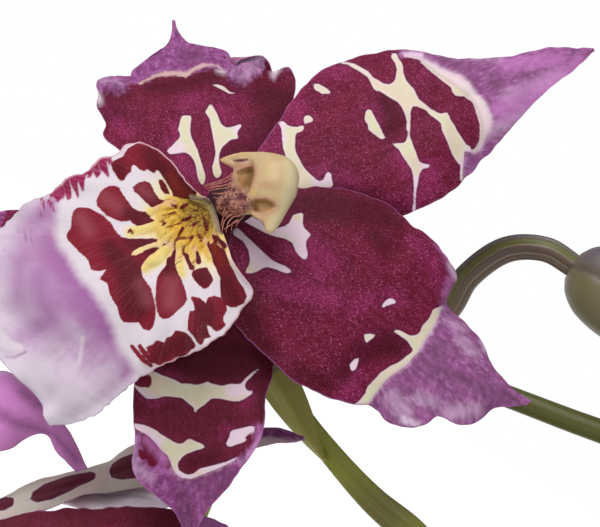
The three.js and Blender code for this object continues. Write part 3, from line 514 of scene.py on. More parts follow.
lowerPetal = dict(
    left=[(244, 203, 0), (279, 192, -0.3), (314, 188, -0.8), (344, 189, -1.1), (370, 195, -1.5),
          (393, 207, -2.6), (411, 224, -4), (430, 240, -5.8), (446, 260, -8), (457, 277, -9.8),
          (449, 299, -11.6), (467, 322, -13.4), (482, 342, -15), (488, 363, -16.3), (503, 382, -17.5),
          (516, 392, -18.8), (531, 401, -20)],
    midrib=[(238, 212, 0), (280, 240, -0.5), (321, 267, -2), (363, 295, -4.5), (404, 323, -8),
            (438, 345, -11), (471, 367, -14), (500, 387, -17), (527, 405, -20)],
    right=[(232, 221, 0), (227, 270, -1), (231, 313, -2.2), (245, 336, -3), (264, 353, -4),
           (283, 371, -5.4), (303, 386, -7), (326, 397, -8.8), (349, 404, -10.5), (369, 406.5, -11.7),
           (380, 412, -12.4), (388, 421, -13), (400, 425, -13.5), (412, 426, -14), (426, 424, -14.6),
           (437, 416.5, -15), (449, 423.5, -15.7), (460, 425.5, -16.2), (472, 424.5, -16.9),
           (484, 418, -17.5),
           (495, 408, -18.2), (511, 407, -19.2), (529, 403, -20)],
    creamPatch=[
        [(232, 232), (235, 229), (237.5, 228.5), (270, 259.5), (274, 262.5), (279, 265), (284, 266.5),
         (290.5, 271), (290, 273.5), (286, 274), (276, 270.5), (267, 268), (264, 268.5), (257, 272.5),
         (252, 274), (247, 274), (245.5, 272.5), (249, 266), (250, 261), (249.5, 255), (248, 250),
         (243.5, 242.5), (233, 235)],
        [(243, 220), (244.5, 217.5), (248, 216.5), (253, 217.5), (262.5, 222.5), (264, 226), (270, 230),
         (277, 229.5), (280, 228), (285, 227), (289, 224), (293, 216), (301, 213.5), (303, 215),
         (302.5, 225), (304, 229.5), (310.5, 236), (306, 241), (305.5, 246), (307, 251), (307.5, 256),
         (306.5, 259), (304, 260), (298.5, 255.5), (295.5, 251.5), (292.5, 243), (289.5, 241),
         (284, 238.5), (270, 235), (265, 233), (248, 224.5), (244, 222)],
        [(381, 306.5), (383, 303), (386, 300), (389, 298.5), (392, 299), (395, 302), (394, 303.5),
         (386, 305.5), (383, 307.5)],
        [(363, 335), (368, 334), (374, 335), (372, 338), (365, 343.5)],
        [(349.5, 364), (355, 358.5), (359, 358), (358, 362), (357, 366), (354.5, 370.5), (352, 371),
         (350.5, 369)],
        [(442, 305), (432, 310), (428.5, 318), (421.5, 326), (420, 331), (418, 334), (413, 336),
         (408, 336), (398, 330.5), (394, 330.5), (392.5, 331.5), (406, 341), (412, 349), (411.5, 352),
         (399, 362), (389, 366.5), (380, 373), (368, 386), (366, 389), (366.5, 392), (360, 400),
         (355, 403.5), (350, 404), (345, 403), (340, 408), (352, 416), (364, 412), (375, 394),
         (386, 379), (403, 367), (408, 362.5), (418, 351), (425, 340), (430, 334), (441, 310), (444, 307)],
    ],
    lilac=[[(450, 296), (440, 310), (434, 322), (427, 333), (421, 343), (416, 353), (406, 363),
            (394, 372), (384, 380), (375, 392), (368, 403), (358, 425), (400, 440), (560, 430),
            (560, 380), (480, 310), (460, 296)]],
    dark=[[(296, 206, 10), (330, 206, 14), (365, 210, 12), (394, 222, 7)], [(376, 236, 5), (386, 250, 5)],
          [(362, 350, 10), (390, 344, 12)], [(345, 372, 6), (352, 360, 6)],
          [(246, 296, 6), (254, 330, 10), (268, 348, 8)], [(300, 374, 6), (325, 384, 6)],
          [(424, 361, 2), (450, 374, 3), (490, 391, 2), (515, 400, 1)], [(432, 353, 4), (440, 346, 4)]],
    rosy=[[(285, 252, 6), (310, 248, 9), (330, 262, 10)], [(270, 285, 7), (300, 290, 12), (330, 300, 11)],
          [(240, 250, 3), (245, 262, 4)], [(350, 312, 6), (366, 300, 7)], [(388, 292, 4), (400, 302, 4)],
          [(355, 374, 5), (352, 388, 8), (342, 398, 6)], [(416, 242, 5), (432, 262, 6), (438, 282, 5)],
          [(312, 262, 8), (320, 275, 8)]],
    halo=[[(438, 244, 1), (447, 258, 2), (453, 272, 2.5), (446, 290, 3), (446, 306, 3)]],
    frost=[[(448, 264, 1), (455, 277, 2)], [(482, 336, 1), (485, 350, 1)], [(404, 420, 3), (418, 424, 2)]],
    pale=0.02,
    paler=[[(393, 398, 10), (404, 412, 10)], [(418, 398, 7), (434, 402, 6)], [(450, 412, 9), (476, 410, 8)],
           [(460, 340, 6), (474, 354, 5)], [(446, 322, 3), (462, 330, 4)]],
    cool=[[(240, 234, 6), (262, 262, 9), (284, 270, 6)], [(250, 222, 7), (300, 232, 9), (304, 254, 7)],
          [(382, 303, 6), (392, 300, 6)], [(352, 366, 6), (358, 360, 5)], [(345, 405, 6), (356, 406, 6)]],
)
topPetal = dict(
    left=[(206, 201, 0), (181, 186, -1.5), (150, 168, -3), (122, 151, -4.5), (104, 133, -6),
          (105, 120, -7.5), (98, 108, -9), (99.5, 100, -10), (98, 92, -11), (99.5, 82, -10.4),
          (112, 81, -9.8),
          (126, 83, -10.5), (133, 70, -12.5), (149, 60, -14.5), (162, 51, -16), (170, 39, -18.5),
          (172.5, 18, -21)],
    midrib=[(218, 190, 0), (210, 160, -2), (203, 130, -4.5), (195, 100, -8), (189, 82, -10),
            (184, 70, -11), (181, 57, -14), (178, 42, -17.5), (173, 20, -21)],
    right=[(226, 186, 0), (243, 168, -1.5), (260, 150, -3), (274, 134, -4.5), (286, 118, -6),
           (293, 105, -8), (296, 91, -9.5), (295, 79, -10.4), (287, 67, -11), (275, 73, -11.6),
           (264, 55, -10), (243, 60, -9.4), (233, 71, -11.2), (227, 54, -12.8), (197, 47, -15.5),
           (181, 34, -18), (173.5, 18, -21)],
    creamPatch=[
        [(182, 118), (185, 117), (190.5, 117), (191, 119), (190, 129), (190.5, 135), (191.5, 139),
         (197.5, 151), (205, 175), (205.5, 179), (203.5, 185), (201.5, 184), (199, 180.5), (197.5, 176),
         (196, 166), (194.5, 161.5), (191.5, 157), (188, 154), (184, 153), (169.5, 155), (167.5, 152.5),
         (168, 150.5), (172, 148), (179.5, 140.5), (180.5, 137), (178.5, 131), (180.5, 121.5)],
        [(205.5, 113), (210, 106.5), (212, 106.5), (218, 117), (219.5, 122), (221.5, 125), (225, 127.5),
         (230, 128), (241.5, 124), (241.5, 126), (237.5, 132), (237, 135), (238, 138), (236.5, 140),
         (233, 140), (229.5, 141.5), (226, 144.5), (223, 147), (221, 150), (219.5, 155), (219, 160),
         (219.5, 165), (222, 174), (220.5, 177), (217.5, 178.5), (214.5, 176.5), (213, 172),
         (212.5, 167), (215.5, 157), (216, 152), (210, 120)],
        [(212, 87), (218, 86), (224, 87), (229, 90), (236, 92), (228, 92.5)],
    ],
    # the cream band across the fold, painted darker as shade
    shadedCreamPatch=[
        [(138, 84), (141, 80.5), (164, 69), (180, 65.5), (186, 67), (198, 65), (206, 65), (220, 67),
         (224, 69), (225, 74), (221, 76.5), (217.5, 74), (218.5, 71), (210, 70.5), (196, 72.5),
         (186, 76.5), (182, 74.5), (176, 74), (160, 78), (148, 83), (144, 87), (140, 88.5), (138, 86.5)],
        [(270, 62), (274, 66), (279, 68), (281, 71), (277, 75), (272, 74), (269.5, 70)],
        [(96, 88), (102, 97), (103, 102), (101, 106), (97, 106)],
    ],
    lilac=[[(90, 70), (92, 90), (103, 97), (113, 99), (126, 98), (130, 86), (138, 86), (150, 80),
            (160, 76), (173, 72), (192, 72), (218, 72), (228, 78), (236, 85), (244, 88), (252, 85),
            (261, 76), (265, 66), (262, 40), (180, 0), (120, 40)],
           [(281, 60), (280, 68), (287, 72), (291, 74), (296, 66)]],
    paler=[[(104, 84, 4), (120, 88, 4)], [(236, 74, 4), (246, 66, 5), (258, 60, 5), (262, 66, 3)],
           [(244, 82, 4), (256, 74, 4)]],
    dark=[[(262, 96, 12), (285, 100, 12), (265, 130, 12), (250, 146, 7)], [(232, 84, 3), (250, 94, 5)],
          [(150, 90, 4), (180, 82, 5), (215, 80, 5)], [(225, 155, 4), (240, 148, 5)],
          [(184, 56, 4), (200, 56, 4)], [(104, 118, 2), (118, 114, 3)], [(104, 98, 3), (124, 96, 3)]],
    frost=[[(98, 98, 2), (101, 104, 1.5)], [(274, 74, 3), (280, 70, 2)], [(240, 62, 1), (262, 56, 1.5)],
           [(218, 73, 1.5), (224, 74, 1.5)]],
    cool=[[(180, 150, 5), (168, 154, 4)], [(240, 125, 4), (236, 132, 3)]],
    rosy=[[(174, 128, 4), (177, 138, 5), (172, 146, 4)], [(180, 160, 7), (190, 172, 5)],
          [(186, 105, 5), (196, 100, 5)], [(222, 108, 4), (230, 116, 4)], [(252, 140, 4), (262, 130, 4)],
          [(110, 116, 5), (128, 130, 5)], [(238, 96, 2), (246, 96, 3)]],
    curls=[(247, 74, 14, 1.3), (232, 86, 8, -0.5), (112, 92, 13, 0.9), (182, 70, 14, -0.5),
           (286, 76, 8, 0.7), (215, 62, 12, 0.6), (275, 84, 8, -0.5)],
)
lowerSepal = dict(
    left=[(222, 216, 0), (192, 262, -2), (158, 310, -4), (139, 352, -6.5), (133, 396, -9),
          (134, 440, -11.5), (137, 478, -14.5), (172, 508, -17.5), (187, 538, -21)],
    midrib=[(230, 218, 0), (226, 262, -1.5), (218, 308, -3.5), (209, 352, -6.5), (203, 396, -10),
            (199, 440, -13.5), (196, 478, -16.5), (192, 508, -18.5), (189, 540, -21)],
    right=[(238, 220, 0), (258, 262, -2.5), (274, 310, -5), (276, 352, -7), (267, 396, -9),
           (260, 440, -11.5), (234, 478, -14.5), (210, 508, -17.5), (192, 538, -21)],
    creamPatch=[
        [(150, 369), (153, 371.5), (157, 372), (161, 374.5), (175, 379.5), (182, 383), (188, 383),
         (197, 384.5), (208, 381.5), (211, 383), (221, 385.5), (231, 384), (236, 384.5), (241, 384),
         (246, 378), (255, 370.5), (260, 368), (247, 381), (245, 385), (246, 389), (249, 391.5),
         (252, 391), (253, 392.5), (251, 395), (244, 399.5), (240, 401), (234, 401), (221, 398.5),
         (215, 398), (211, 399), (204, 405), (197, 409), (195.5, 412), (194, 411), (194, 407),
         (182, 397.5), (170, 395.5), (164, 395.5), (158, 398), (152, 398.5), (146, 398), (142, 395),
         (136, 388), (130, 384), (130, 372), (140, 368)],
        [(134, 423), (145, 425.5), (156, 430), (160, 433.5), (176, 443), (180, 443.5), (184, 442.5),
         (187, 439.5), (190, 438.5), (203, 444.5), (205, 447), (201, 449), (196, 450), (187, 453.5),
         (183, 456), (178, 462), (177.5, 466), (179, 470), (183, 473), (188, 474.5), (193, 473.5),
         (200, 468.5), (226, 462), (238, 457), (236, 460), (228, 464), (218, 468.5), (190, 479),
         (182, 477.5), (176, 474), (172, 468), (168, 456), (160, 449), (156, 444), (148, 436.5),
         (134, 428)],
        [(231, 432), (234, 430), (252, 426), (256, 427), (254, 432), (250, 437), (245, 442),
         (232, 446.5), (228, 446), (227, 442.5), (230, 437)],
    ],
    calm=1,
    lilac=[[(118, 428), (138, 431), (148, 438), (158, 448), (166, 456), (170, 463), (174, 472),
            (182, 478), (191, 479.5), (202, 475), (215, 470), (230, 464), (240, 458), (249, 451),
            (252, 444), (254, 437), (258, 428), (268, 420), (275, 440), (245, 490), (205, 560),
            (170, 560), (120, 500)]],
    winePatch=[
        [(163, 460), (167, 459), (170.5, 462), (171, 466), (168, 469), (164, 467)],
        [(133, 378), (138, 374), (146, 373), (151, 376), (152, 383), (149, 387), (140, 387), (133, 384)],
        [(140, 435), (143, 432.5), (149, 437), (154, 442), (158, 448), (160, 456), (158, 463),
         (154, 467), (149, 466), (145, 454), (139.5, 441)],
        [(138, 448), (142, 450), (146, 454), (147, 459), (143, 460), (139, 455)],
        [(246, 437), (253, 431), (252, 435), (249, 440), (246, 439.5)],
    ],
    paler=[[(130, 440, 7), (134, 466, 7), (150, 478, 5)], [(256, 446, 3), (244, 462, 2)]],
    cool=[[(232, 391, 6), (256, 385, 10)], [(236, 436, 12), (252, 430, 8)], [(136, 427, 5), (158, 442, 5)],
          [(205, 468, 4), (238, 458, 4)], [(138, 392, 5), (150, 398, 4)], [(176, 474, 4), (190, 477, 4)]],
    halo=[[(259, 428, 1), (258, 446, 2), (250, 456, 1)], [(146, 440, 3), (166, 462, 3)]],
    dark=[[(160, 350, 16), (210, 358, 20), (265, 366, 16)], [(190, 462, 3), (215, 458, 3)],
          [(182, 492, 6), (187, 515, 9), (190, 540, 10)], [(232, 474, 5), (212, 500, 7)],
          [(200, 486, 5), (222, 472, 3)], [(262, 392, 5), (264, 415, 4)]],
    rosy=[[(160, 372, 3), (176, 374, 3)], [(145, 396, 2), (160, 402, 3)], [(246, 404, 4), (254, 400, 4)],
          [(222, 434, 3), (228, 428, 3)]],
)
hiddenSepal = dict(
    left=[(222, 205, 0), (180, 190, -4), (130, 186, -8), (85, 190, -11.5), (45, 204, -14.5),
          (5, 211, -17.5), (-30, 226, -20.5), (-60, 244, -23.5), (-88, 260, -27)],
    midrib=[(225, 211, 0), (180, 222, -3), (130, 232, -6.5), (85, 240, -10), (45, 247, -13),
            (5, 252, -16.5), (-30, 256, -20), (-60, 260, -23.5), (-89, 262, -27)],
    right=[(228, 217, 0), (180, 256, -4), (130, 280, -8), (85, 292, -11.5), (45, 297, -14.5),
           (5, 297, -17.5), (-30, 290, -20.5), (-60, 277, -23.5), (-88, 265, -27)],
    cream=[[(76, 196, 3), (70, 215, 5), (78, 236, 7), (68, 255, 5), (72, 290, 4)],
           [(24, 208, 3), (12, 226, 5), (18, 246, 6), (8, 270, 5), (12, 296, 3)],
           [(150, 225, 3), (132, 232, 4), (118, 231, 1.5)]],
    lilac=[[(8, 190), (2, 226), (8, 246), (-2, 270), (2, 310), (-120, 300), (-120, 220)]],
)
regularTepals = [dorsalSepal, topPetal, lowerPetal, lowerSepal, hiddenSepal]
tepalNames = ["dorsalSepal", "topPetal", "lowerPetal", "lowerSepal", "sideSepal"]

# the bloom behind, at the lower left: its tepals as (across, down, depth)
secondTepals = [
    dict(
        left=[(-75, 512, -28), (-78, 450, -27), (-50, 395, -25), (0, 372, -24), (30, 388, -23),
              (52, 412, -22.5), (67, 428, -22), (88, 468, -22)],
        midrib=[(-70, 514, -28), (-58, 466, -25), (-34, 425, -22), (4, 410, -20.5), (32, 410, -20.5),
                (50, 424, -21), (63, 443, -21.5), (82, 470, -22)],
        right=[(-64, 517, -28), (-32, 490, -25), (-10, 458, -23), (10, 447, -22), (34, 436, -22),
               (48, 437, -22), (57, 452, -22), (77, 472, -22)],
        lilac=[[(-60, 360), (-30, 480), (20, 460), (60, 480), (110, 480), (60, 380), (0, 350)]],
        frost=[[(-4, 369, 3), (8, 370, 3), (20, 376, 3), (32, 388, 3), (43, 402, 2.5), (50, 414, 2)]],
        dark=[[(-20, 398, 3), (6, 413, 5), (30, 428, 3), (48, 440, 2), (72, 464, 2)],
              # vivid: painted light, a lighter violet for this tepal where it lies in the lip's shadow
              [(20, 392, 1), (34, 408, 1)]], vivid=0.9,
    ),
    dict(
        left=[(-64, 515, -28), (0, 500, -26), (40, 480, -25), (100, 460, -24), (133, 448, -23),
              (190, 436, -22), (248, 427, -21), (283, 429, -20), (304, 436, -20)],
        midrib=[(-62, 521, -28), (0, 510, -22), (45, 494, -19), (100, 478, -18), (136, 468, -18),
                (190, 454, -18), (245, 441, -18.5), (280, 436, -19), (305, 438, -20)],
        right=[(-62, 528, -28), (0, 521, -19), (30, 512.5, -16), (50, 507, -15), (73, 501, -14),
               (98, 496, -13), (140, 486, -13),
               (190, 471, -14.5), (248, 453, -16), (286, 443, -18), (304, 440, -20)],
        blotches=[[(-6, 506), (4, 503), (13, 505), (12, 511), (2, 517), (-8, 517)],
                  [(30, 498), (40, 489), (55, 482), (72, 478), (88, 476), (92, 481), (80, 489),
                   (64, 496), (48, 504), (34, 508), (27, 505)],
                  [(104, 476), (108, 468), (117, 462), (132, 457), (146, 462), (146, 478), (130, 484),
                   (116, 486), (106, 483)],
                  [(200, 432), (262, 424), (308, 428), (308, 438), (284, 439), (262, 442), (230, 450),
                   (206, 452)]],
        lilac=[[(200, 456), (236, 450), (256, 438), (264, 420), (320, 420), (320, 470), (200, 480)]],
        # airy: painted light that lightens the cream of this tepal, which lies in shade
        calm=1, airy=0.25,
    ),
    dict(
        left=[(-64, 520, -28), (0, 504, -27), (50, 487, -26), (90, 480, -23), (128, 474, -21),
              (155, 486, -16), (173, 501, -10)],
        midrib=[(-64, 525, -28), (0, 510, -26.5), (50, 492, -25.5), (90, 494, -19), (128, 496, -15),
                (155, 500, -12), (175, 503.5, -9)],
        right=[(-64, 529, -28), (0, 514, -26), (50, 500, -24), (90, 509, -14), (110, 512, -10),
               (128, 513, -8), (150, 512, -7.5), (164, 509, -8), (174, 505.5, -9)],
        lilac=[[(-80, 500), (-80, 560), (200, 560), (200, 460)]], pale=1,
    ),
    dict(
        left=[(-68, 531, -27), (-20, 523, -13), (20, 514, -7), (38, 512, -5.6), (52, 511.5, -5.2),
              (64, 508, -5), (92, 507.5, -4.8), (125, 508, -4.6), (160, 508, -4.5), (200, 514, -5),
              (226, 524, -6)],
        midrib=[(-70, 536, -27), (-20, 552, -11), (20, 562, -4), (70, 570, -1), (125, 566, 0),
                (170, 556, -1.5), (207, 546, -3.5), (236, 536, -6)],
        right=[(-74, 541, -27), (-26, 588, -10), (20, 620, -4), (80, 628, -1), (130, 618, 0),
               (180, 598, -1), (215, 570, -3), (235, 541, -6)],
        cream=[[(40, 530, 2), (60, 548, 4), (66, 575, 5)], [(110, 540, 2), (120, 560, 4), (116, 590, 5)]],
        lilac=[[(184, 508), (180, 560), (190, 620), (260, 560), (240, 500)]], calm=1,
        halo=[[(200, 520, 8), (232, 530, 10)]],
        paler=[[(20, 520, 1), (80, 524, 1), (150, 519, 1)]],
    ),
    dict(
        left=[(-77, 531, -28), (-105, 585, -28), (-150, 625, -30), (-205, 650, -33), (-260, 655, -37),
              (-300, 668, -41)],
        midrib=[(-78, 525, -28), (-128, 551, -27), (-180, 583, -29), (-228, 612, -33), (-270, 637, -37),
                (-302, 664, -41)],
        right=[(-78, 518, -28), (-150, 515, -28), (-212, 538, -30), (-252, 573, -33), (-285, 615, -37),
               (-303, 660, -41)],
        cream=[[(-150, 540, 4), (-160, 580, 6), (-150, 620, 4)], [(-210, 560, 4), (-200, 600, 5)]],
        lilac=[[(-225, 520), (-240, 600), (-215, 680), (-320, 700), (-320, 560)]],
    ),
]

# how finely each bloom is cut, and where it sits
tepalLook = dict(thickness=0.45, groove=0.22, swell=0.28, smallSwell=0.10, ragged=0.16)
fineCut = dict(rows=150, cols=76, lipRows=150, lipCols=120, columnVoxel=0.16, wave=0.7,
               own=dict(dorsalSepal=(200, 104), sideSepal=(44, 24)))
plainCut = dict(rows=44, cols=24, lipRows=56, lipCols=48, columnVoxel=0.34, wave=0.9, own={})
secondCut = dict(plainCut, rows=90, cols=36, wave=0.5)
lowerBlooms = [
    dict(name="bloom_3", at=(50, -40, 412), facing=(0.42, -0.86, 0.22), dorsal=(0.12, 0.2, 1),
         size=0.95, mirror=True, seed=31, node=452),
    dict(name="bloom_4", at=(-42, -42, 388), facing=(-0.4, -0.87, 0.26), dorsal=(-0.2, 0.2, 1),
         size=0.97, mirror=False, seed=47, node=424),
    dict(name="bloom_5", at=(56, -46, 323), facing=(0.5, -0.82, 0.2), dorsal=(0.25, 0.2, 1),
         size=1.0, mirror=False, seed=53, node=372),
    dict(name="bloom_6", at=(-34, -50, 300), facing=(-0.45, -0.84, 0.25), dorsal=(-0.1, 0.25, 1),
         size=1.02, mirror=True, seed=67, node=340),
]
secondBloom = dict(name="bloom_2", at=seen(-70, 525, -28), facing=(-0.31, -0.9, 0.32),
                   dorsal=(0.99, 0.01, 0.14), size=0.9, mirror=False, seed=23, node=442)

planeFacing = unit((-slope[0], -slope[1], 1))
hubMiddle = bloomPoint((232, 206, -0.6))


def bloomMap(bloom, bend=0.0, swing=0.0):
    # from the top bloom's frame to another bloom's place, as the solids are placed
    facing = unit(bloom["facing"])
    dorsal = np.array(bloom["dorsal"], float)
    dorsal = unit(dorsal - facing * dorsal.dot(facing))
    d = np.array([math.cos(lean), math.sin(lean), 0])
    d = unit(d - planeFacing * d.dot(planeFacing))
    source = np.stack([np.cross(d, planeFacing), d, planeFacing], 1)
    target = np.stack([np.cross(dorsal, facing), dorsal, facing], 1)
    size = bloom["size"]
    scale = np.array([-size if bloom["mirror"] else size, size, size])

    def move(points):
        q = (np.asarray(points) - hubMiddle) @ source
        r = np.hypot(q[..., 0], q[..., 1])
        a = swing * np.minimum(r, 10) / 10
        x = q[..., 0] * np.cos(a) - q[..., 1] * np.sin(a)
        y = q[..., 0] * np.sin(a) + q[..., 1] * np.cos(a)
        z = q[..., 2] + bend * r * r / 1200
        return (np.stack([x, y, z], -1) * scale) @ target.T + np.array(bloom["at"])
    return move


def worldMap(points):
    p = np.asarray(points)
    return (topBloomAt + p[..., :1] * acrossAxis + p[..., 1:2] * upAxis + p[..., 2:3] * eyeAxis)


def depthPoint(raw):
    return framePoint(*raw)


def tepalSurface(outline, place, rows, cols, wave):
    # the same surface as the solid's, finer
    u = np.linspace(0, 1, rows + 1)
    left, rib, right = (alongPoints(np.array([place(p) for p in outline[k]]), u)
                        for k in ("left", "midrib", "right"))
    over = right - left
    wide = np.linalg.norm(over, axis=1, keepdims=True)
    half = over / np.maximum(wide, 1e-6) * 0.12
    tight = wide < 0.24
    left = np.where(tight, rib - half, left)
    right = np.where(tight, rib + half, right)
    face = unitRows(np.cross(np.gradient(rib, axis=0), over))
    t = np.linspace(-1, 1, cols + 1)
    bow = [(t * t - t) / 2, 1 - t * t, (t * t + t) / 2]
    grid = sum(edge[:, None] * b[None, :, None] for edge, b in zip((left, rib, right), bow))
    phase = np.where(t > 0, 1.7, 0)[None] + wave["phase"]
    ripple = (np.abs(t)[None] ** 3 * np.sin(math.pi * u)[:, None]
              * np.sin(2 * math.pi * wave["count"] * u[:, None] + phase))
    return grid + face[:, None] * (wave["height"] * ripple)[..., None], u, t


def tepalMesh(outline, place, rows, cols, wave, seed):
    grid, u, t = tepalSurface(outline, place, rows, cols, wave)
    spots = outlinePlace(grid)
    s = bloomFrame["scale"]
    if seed:
        # another bloom's markings differ a little
        spots = spots + 6 * np.stack([softNoise(spots, 60, seed), softNoise(spots, 60, seed + 1)], -1)
    length = np.linalg.norm(np.diff(grid[:, cols // 2], axis=0), axis=1).sum()
    over = grid[:, -1] - grid[:, 0]
    halfWide = np.linalg.norm(over, axis=1)[:, None] / 2
    acrossMm = t[None] * halfWide
    look = tepalLook
    edge = (1 - np.abs(t))[None] * halfWide
    # the edge is a little ragged; the face has a shallow groove at the midrib and soft swells
    rag = look["ragged"] * np.exp(-edge / 1.2) * np.sign(t)[None] * softNoise(spots, 9, 3 + seed)
    grid = grid + over[:, None] / np.maximum(2 * halfWide, 1e-6)[..., None] * rag[..., None]
    fade = np.sin(math.pi * np.clip(u * 0.98 + 0.01, 0, 1))[:, None] ** 0.5
    swell = look["swell"] * softNoise(spots, 34, 7 + seed)
    swell = swell + look["smallSwell"] * softNoise(spots, 13, 8 + seed)
    for across, down, reach, lift in outline.get("curls", ()):
        away = np.hypot(spots[..., 0] - across, spots[..., 1] - down)
        swell = swell + lift * np.exp(-(away / reach) ** 2)
    swell = swell - look["groove"] * np.exp(-(acrossMm / 0.9) ** 2)
    normal = gridNormals(grid)
    side = math.copysign(1, normal[rows // 2, cols // 2][2])
    grid = grid + normal * (side * swell * fade)[..., None]
    if "blotches" in outline:
        cream = -insideAny(spots, (), outline["blotches"])
    else:
        cream = insideAny(spots, outline.get("cream", ()), outline.get("creamPatch", ()))
    along = np.broadcast_to(u[:, None], edge.shape)
    values = dict(
        cream=cream / s, soft=insideAny(spots, (), outline.get("shadedCreamPatch", ())) / s,
        lilac=insideAny(spots, (), outline.get("lilac", ())) / s,
        wine=insideAny(spots, (), outline.get("winePatch", ())) / s,
        **{k: np.full(edge.shape, outline.get(k, 0.0)) for k in ("pale", "vivid", "airy", "calm")},
        grain=sideBySide(acrossMm, along * length, 7.0 * seed),
        edge=edge, along=along)
    for key in ("dark", "rosy", "halo", "paler", "cool", "frost"):
        values[key] = insideAny(spots, outline.get(key, ())) / s
    if side < 0:
        grid = grid[:, ::-1]
        values = {k: v[:, ::-1] for k, v in values.items()}
    thick = look["thickness"] * (0.2 + 0.8 * np.clip(values["edge"] / 2.5, 0, 1))
    return closedSheet(grid, thick, values)


# tepal finish: velvety wine red, a cream network, lilac tips
tepalFinish = dict(
    wineDeep=(52, 5, 17), wine=(92, 16, 38), wineLit=(120, 34, 64), wineCalm=(78, 26, 32),
    spark=(184, 92, 142), vivid=(230, 150, 222), rosy=(126, 34, 82), outline=(62, 14, 42),
    cream=(190, 185, 158), creamWarm=(194, 178, 160), creamEdge=(206, 184, 194), creamFoot=(160, 146, 104),
    creamLilac=(208, 182, 206), lilac=(122, 62, 110), lilacDeep=(98, 44, 88), lilacPale=(172, 108, 166),
    dusk=(80, 40, 62), soft=(186, 152, 148), frost=(214, 200, 216), backPale=(150, 100, 120),
    backCream=(252, 243, 253), roughness=0.6,
)


def tepalMaterial():
    p = Paint("tepalVelvet", tepalFinish)
    grain = p.vector("grain")
    veins = p.noise(p.stretched(grain, 2.4, 0.2, 1), 1.0, 3, 0.6)
    broad = p.noise(p.stretched(grain, 0.24, 0.17, 1), 1.0, 2)
    crisp = p.noise(p.stretched(grain, 1.4, 0.8, 1), 1.0, 4, 0.65)
    fine = p.noise(p.stretched(grain, 7.0, 2.2, 1), 1.0, 3, 0.75)
    spark = p.noise(p.stretched(grain, 8.5, 3.2, 1), 1.0, 1, 0.5)
    near, calm = p.value("cream"), p.value("calm")
    rosy = (p.value("rosy") + (crisp - 0.5) * 2.4 + (veins - 0.5) * 2).step(-1.2, 1.4)
    ground = p.mix(broad.step(0.3, 0.7) * 0.5 + 0.4, "wineDeep", "wine")
    ground = p.layers(ground, [
        (veins.step(0.4, 0.8) * 0.4, "wineLit"),
        (fine.step(0.42, 0.68) * 0.5, "wineLit"),
        ((1 - fine.step(0.33, 0.5)) * 0.4, "wineDeep"),
        (calm * 0.5, "wineCalm"),
    ])
    # painted glints: light pink specks where the velvety cells would sparkle
    glint = spark.step(0.52, 0.68) * (crisp.step(0.35, 0.6) * 0.4 + rosy * 0.5) * (1 - calm * 0.6)
    ground = p.mix(glint, ground, "spark")
    glow = rosy + (near + crisp * 1.2).step(-0.9, 1.2) * 0.4
    ground = p.mix(glow * (fine.step(0.3, 0.6) * 0.6 + 0.15), ground, "rosy")
    # painted shade: the dark strokes darken the wine, and the lilac tips with dusk
    shade = p.value("dark") + (crisp - 0.5) * 1.5
    ground = p.mix(shade.step(-1.6, 1.0) * 0.65, ground, "wineDeep")
    streaks = p.noise(p.stretched(grain, 1.5, 0.2, 1), 1.0, 4, 0.65)
    tips = p.mix(streaks.step(0.35, 0.65), "lilac", "lilacDeep")
    tips = p.layers(tips, [
        (crisp.step(0.42, 0.7) * 0.55 + fine.step(0.4, 0.8) * 0.2, "lilacPale"),
        (shade.step(-0.9, 0.7) * 0.55, "dusk"),
    ])
    paler = p.value("paler") + (crisp - 0.5) * 1.4
    tips = p.layers(tips, [
        (paler.step(-0.7, 0.9) * 0.32, "creamLilac"),
        # vivid lightens the violet of a tepal that lies in shade: painted light
        (p.value("vivid") * (1 - shade.step(-0.9, 0.7) * 0.6), "vivid"),
        (p.value("pale") * 0.92, "backCream"),
    ])
    shift = (crisp - 0.5) * 1.3 + (fine - 0.5) * 0.3
    colour = p.mix((p.value("lilac") + shift * 1.2).step(-0.4, 0.4), ground, tips)
    rim = near.step(-0.35, -0.02) * (1 - p.value("lilac").step(-0.6, 0.2))
    colour = p.mix(rim * 0.5, colour, "outline")
    creamTone = p.mix(broad.step(0.35, 0.65), "cream", "creamWarm")
    creamTone = p.mix((1 - (near + shift * 0.2).step(0.0, 0.3)) * 0.7, creamTone, "creamEdge")
    beyond = p.value("lilac").step(-0.3, 0.5)
    cool = (p.value("cool") + (crisp - 0.5) * 1.2).step(-0.5, 0.5)
    creamTone = p.layers(creamTone, [
        (beyond * 0.5 + cool * 0.75, "creamLilac"),
        # airy lightens the cream of a tepal that lies in shade: painted light
        (p.value("airy"), "frost"),
    ])
    # darker olive cream at the foot of each tepal: painted shade under the column, with an olive tint
    foot = 1 - p.value("along").step(0.02, 0.12)
    creamTone = p.mix(foot * (1 - cool) * 0.5, creamTone, "creamFoot")
    colour = p.layers(colour, [
        ((near + shift * 0.4).step(-0.5, 0.5) * beyond, creamTone),
        ((near + shift * 0.12).step(-0.09, 0.09) * (1 - beyond * 0.7), creamTone),
        # the cream band on the top petal's fold, painted darker: painted shade
        ((p.value("soft") + shift * 0.3).step(0.02, 0.35) * 0.9, "soft"),
        ((p.value("wine") + shift * 0.2).step(-0.1, 0.1), "wine"),
    ])
    halo = (p.value("halo") + shift * 0.6 + (veins - 0.5)).step(-0.8, 0.5) * 0.6
    colour = p.layers(colour, [
        (halo, "lilacPale"),
        ((p.value("frost") + shift * 0.3).step(-0.6, 0.5) * 0.6, "frost"),
    ])
    margin = 1 - p.value("edge").step(0.02, 0.16)
    colour = p.layers(colour, [
        (margin * 0.45, "lilacPale"),
        (p.value("under").step(0.4, 0.6) * 0.45, "backPale"),
    ])
    normal = p.bump(veins * 0.4 + fine * 0.6, 0.35, 0.00012)
    return p.finish(colour, tepalFinish["roughness"], normal, Specular_IOR_Level=0.07)


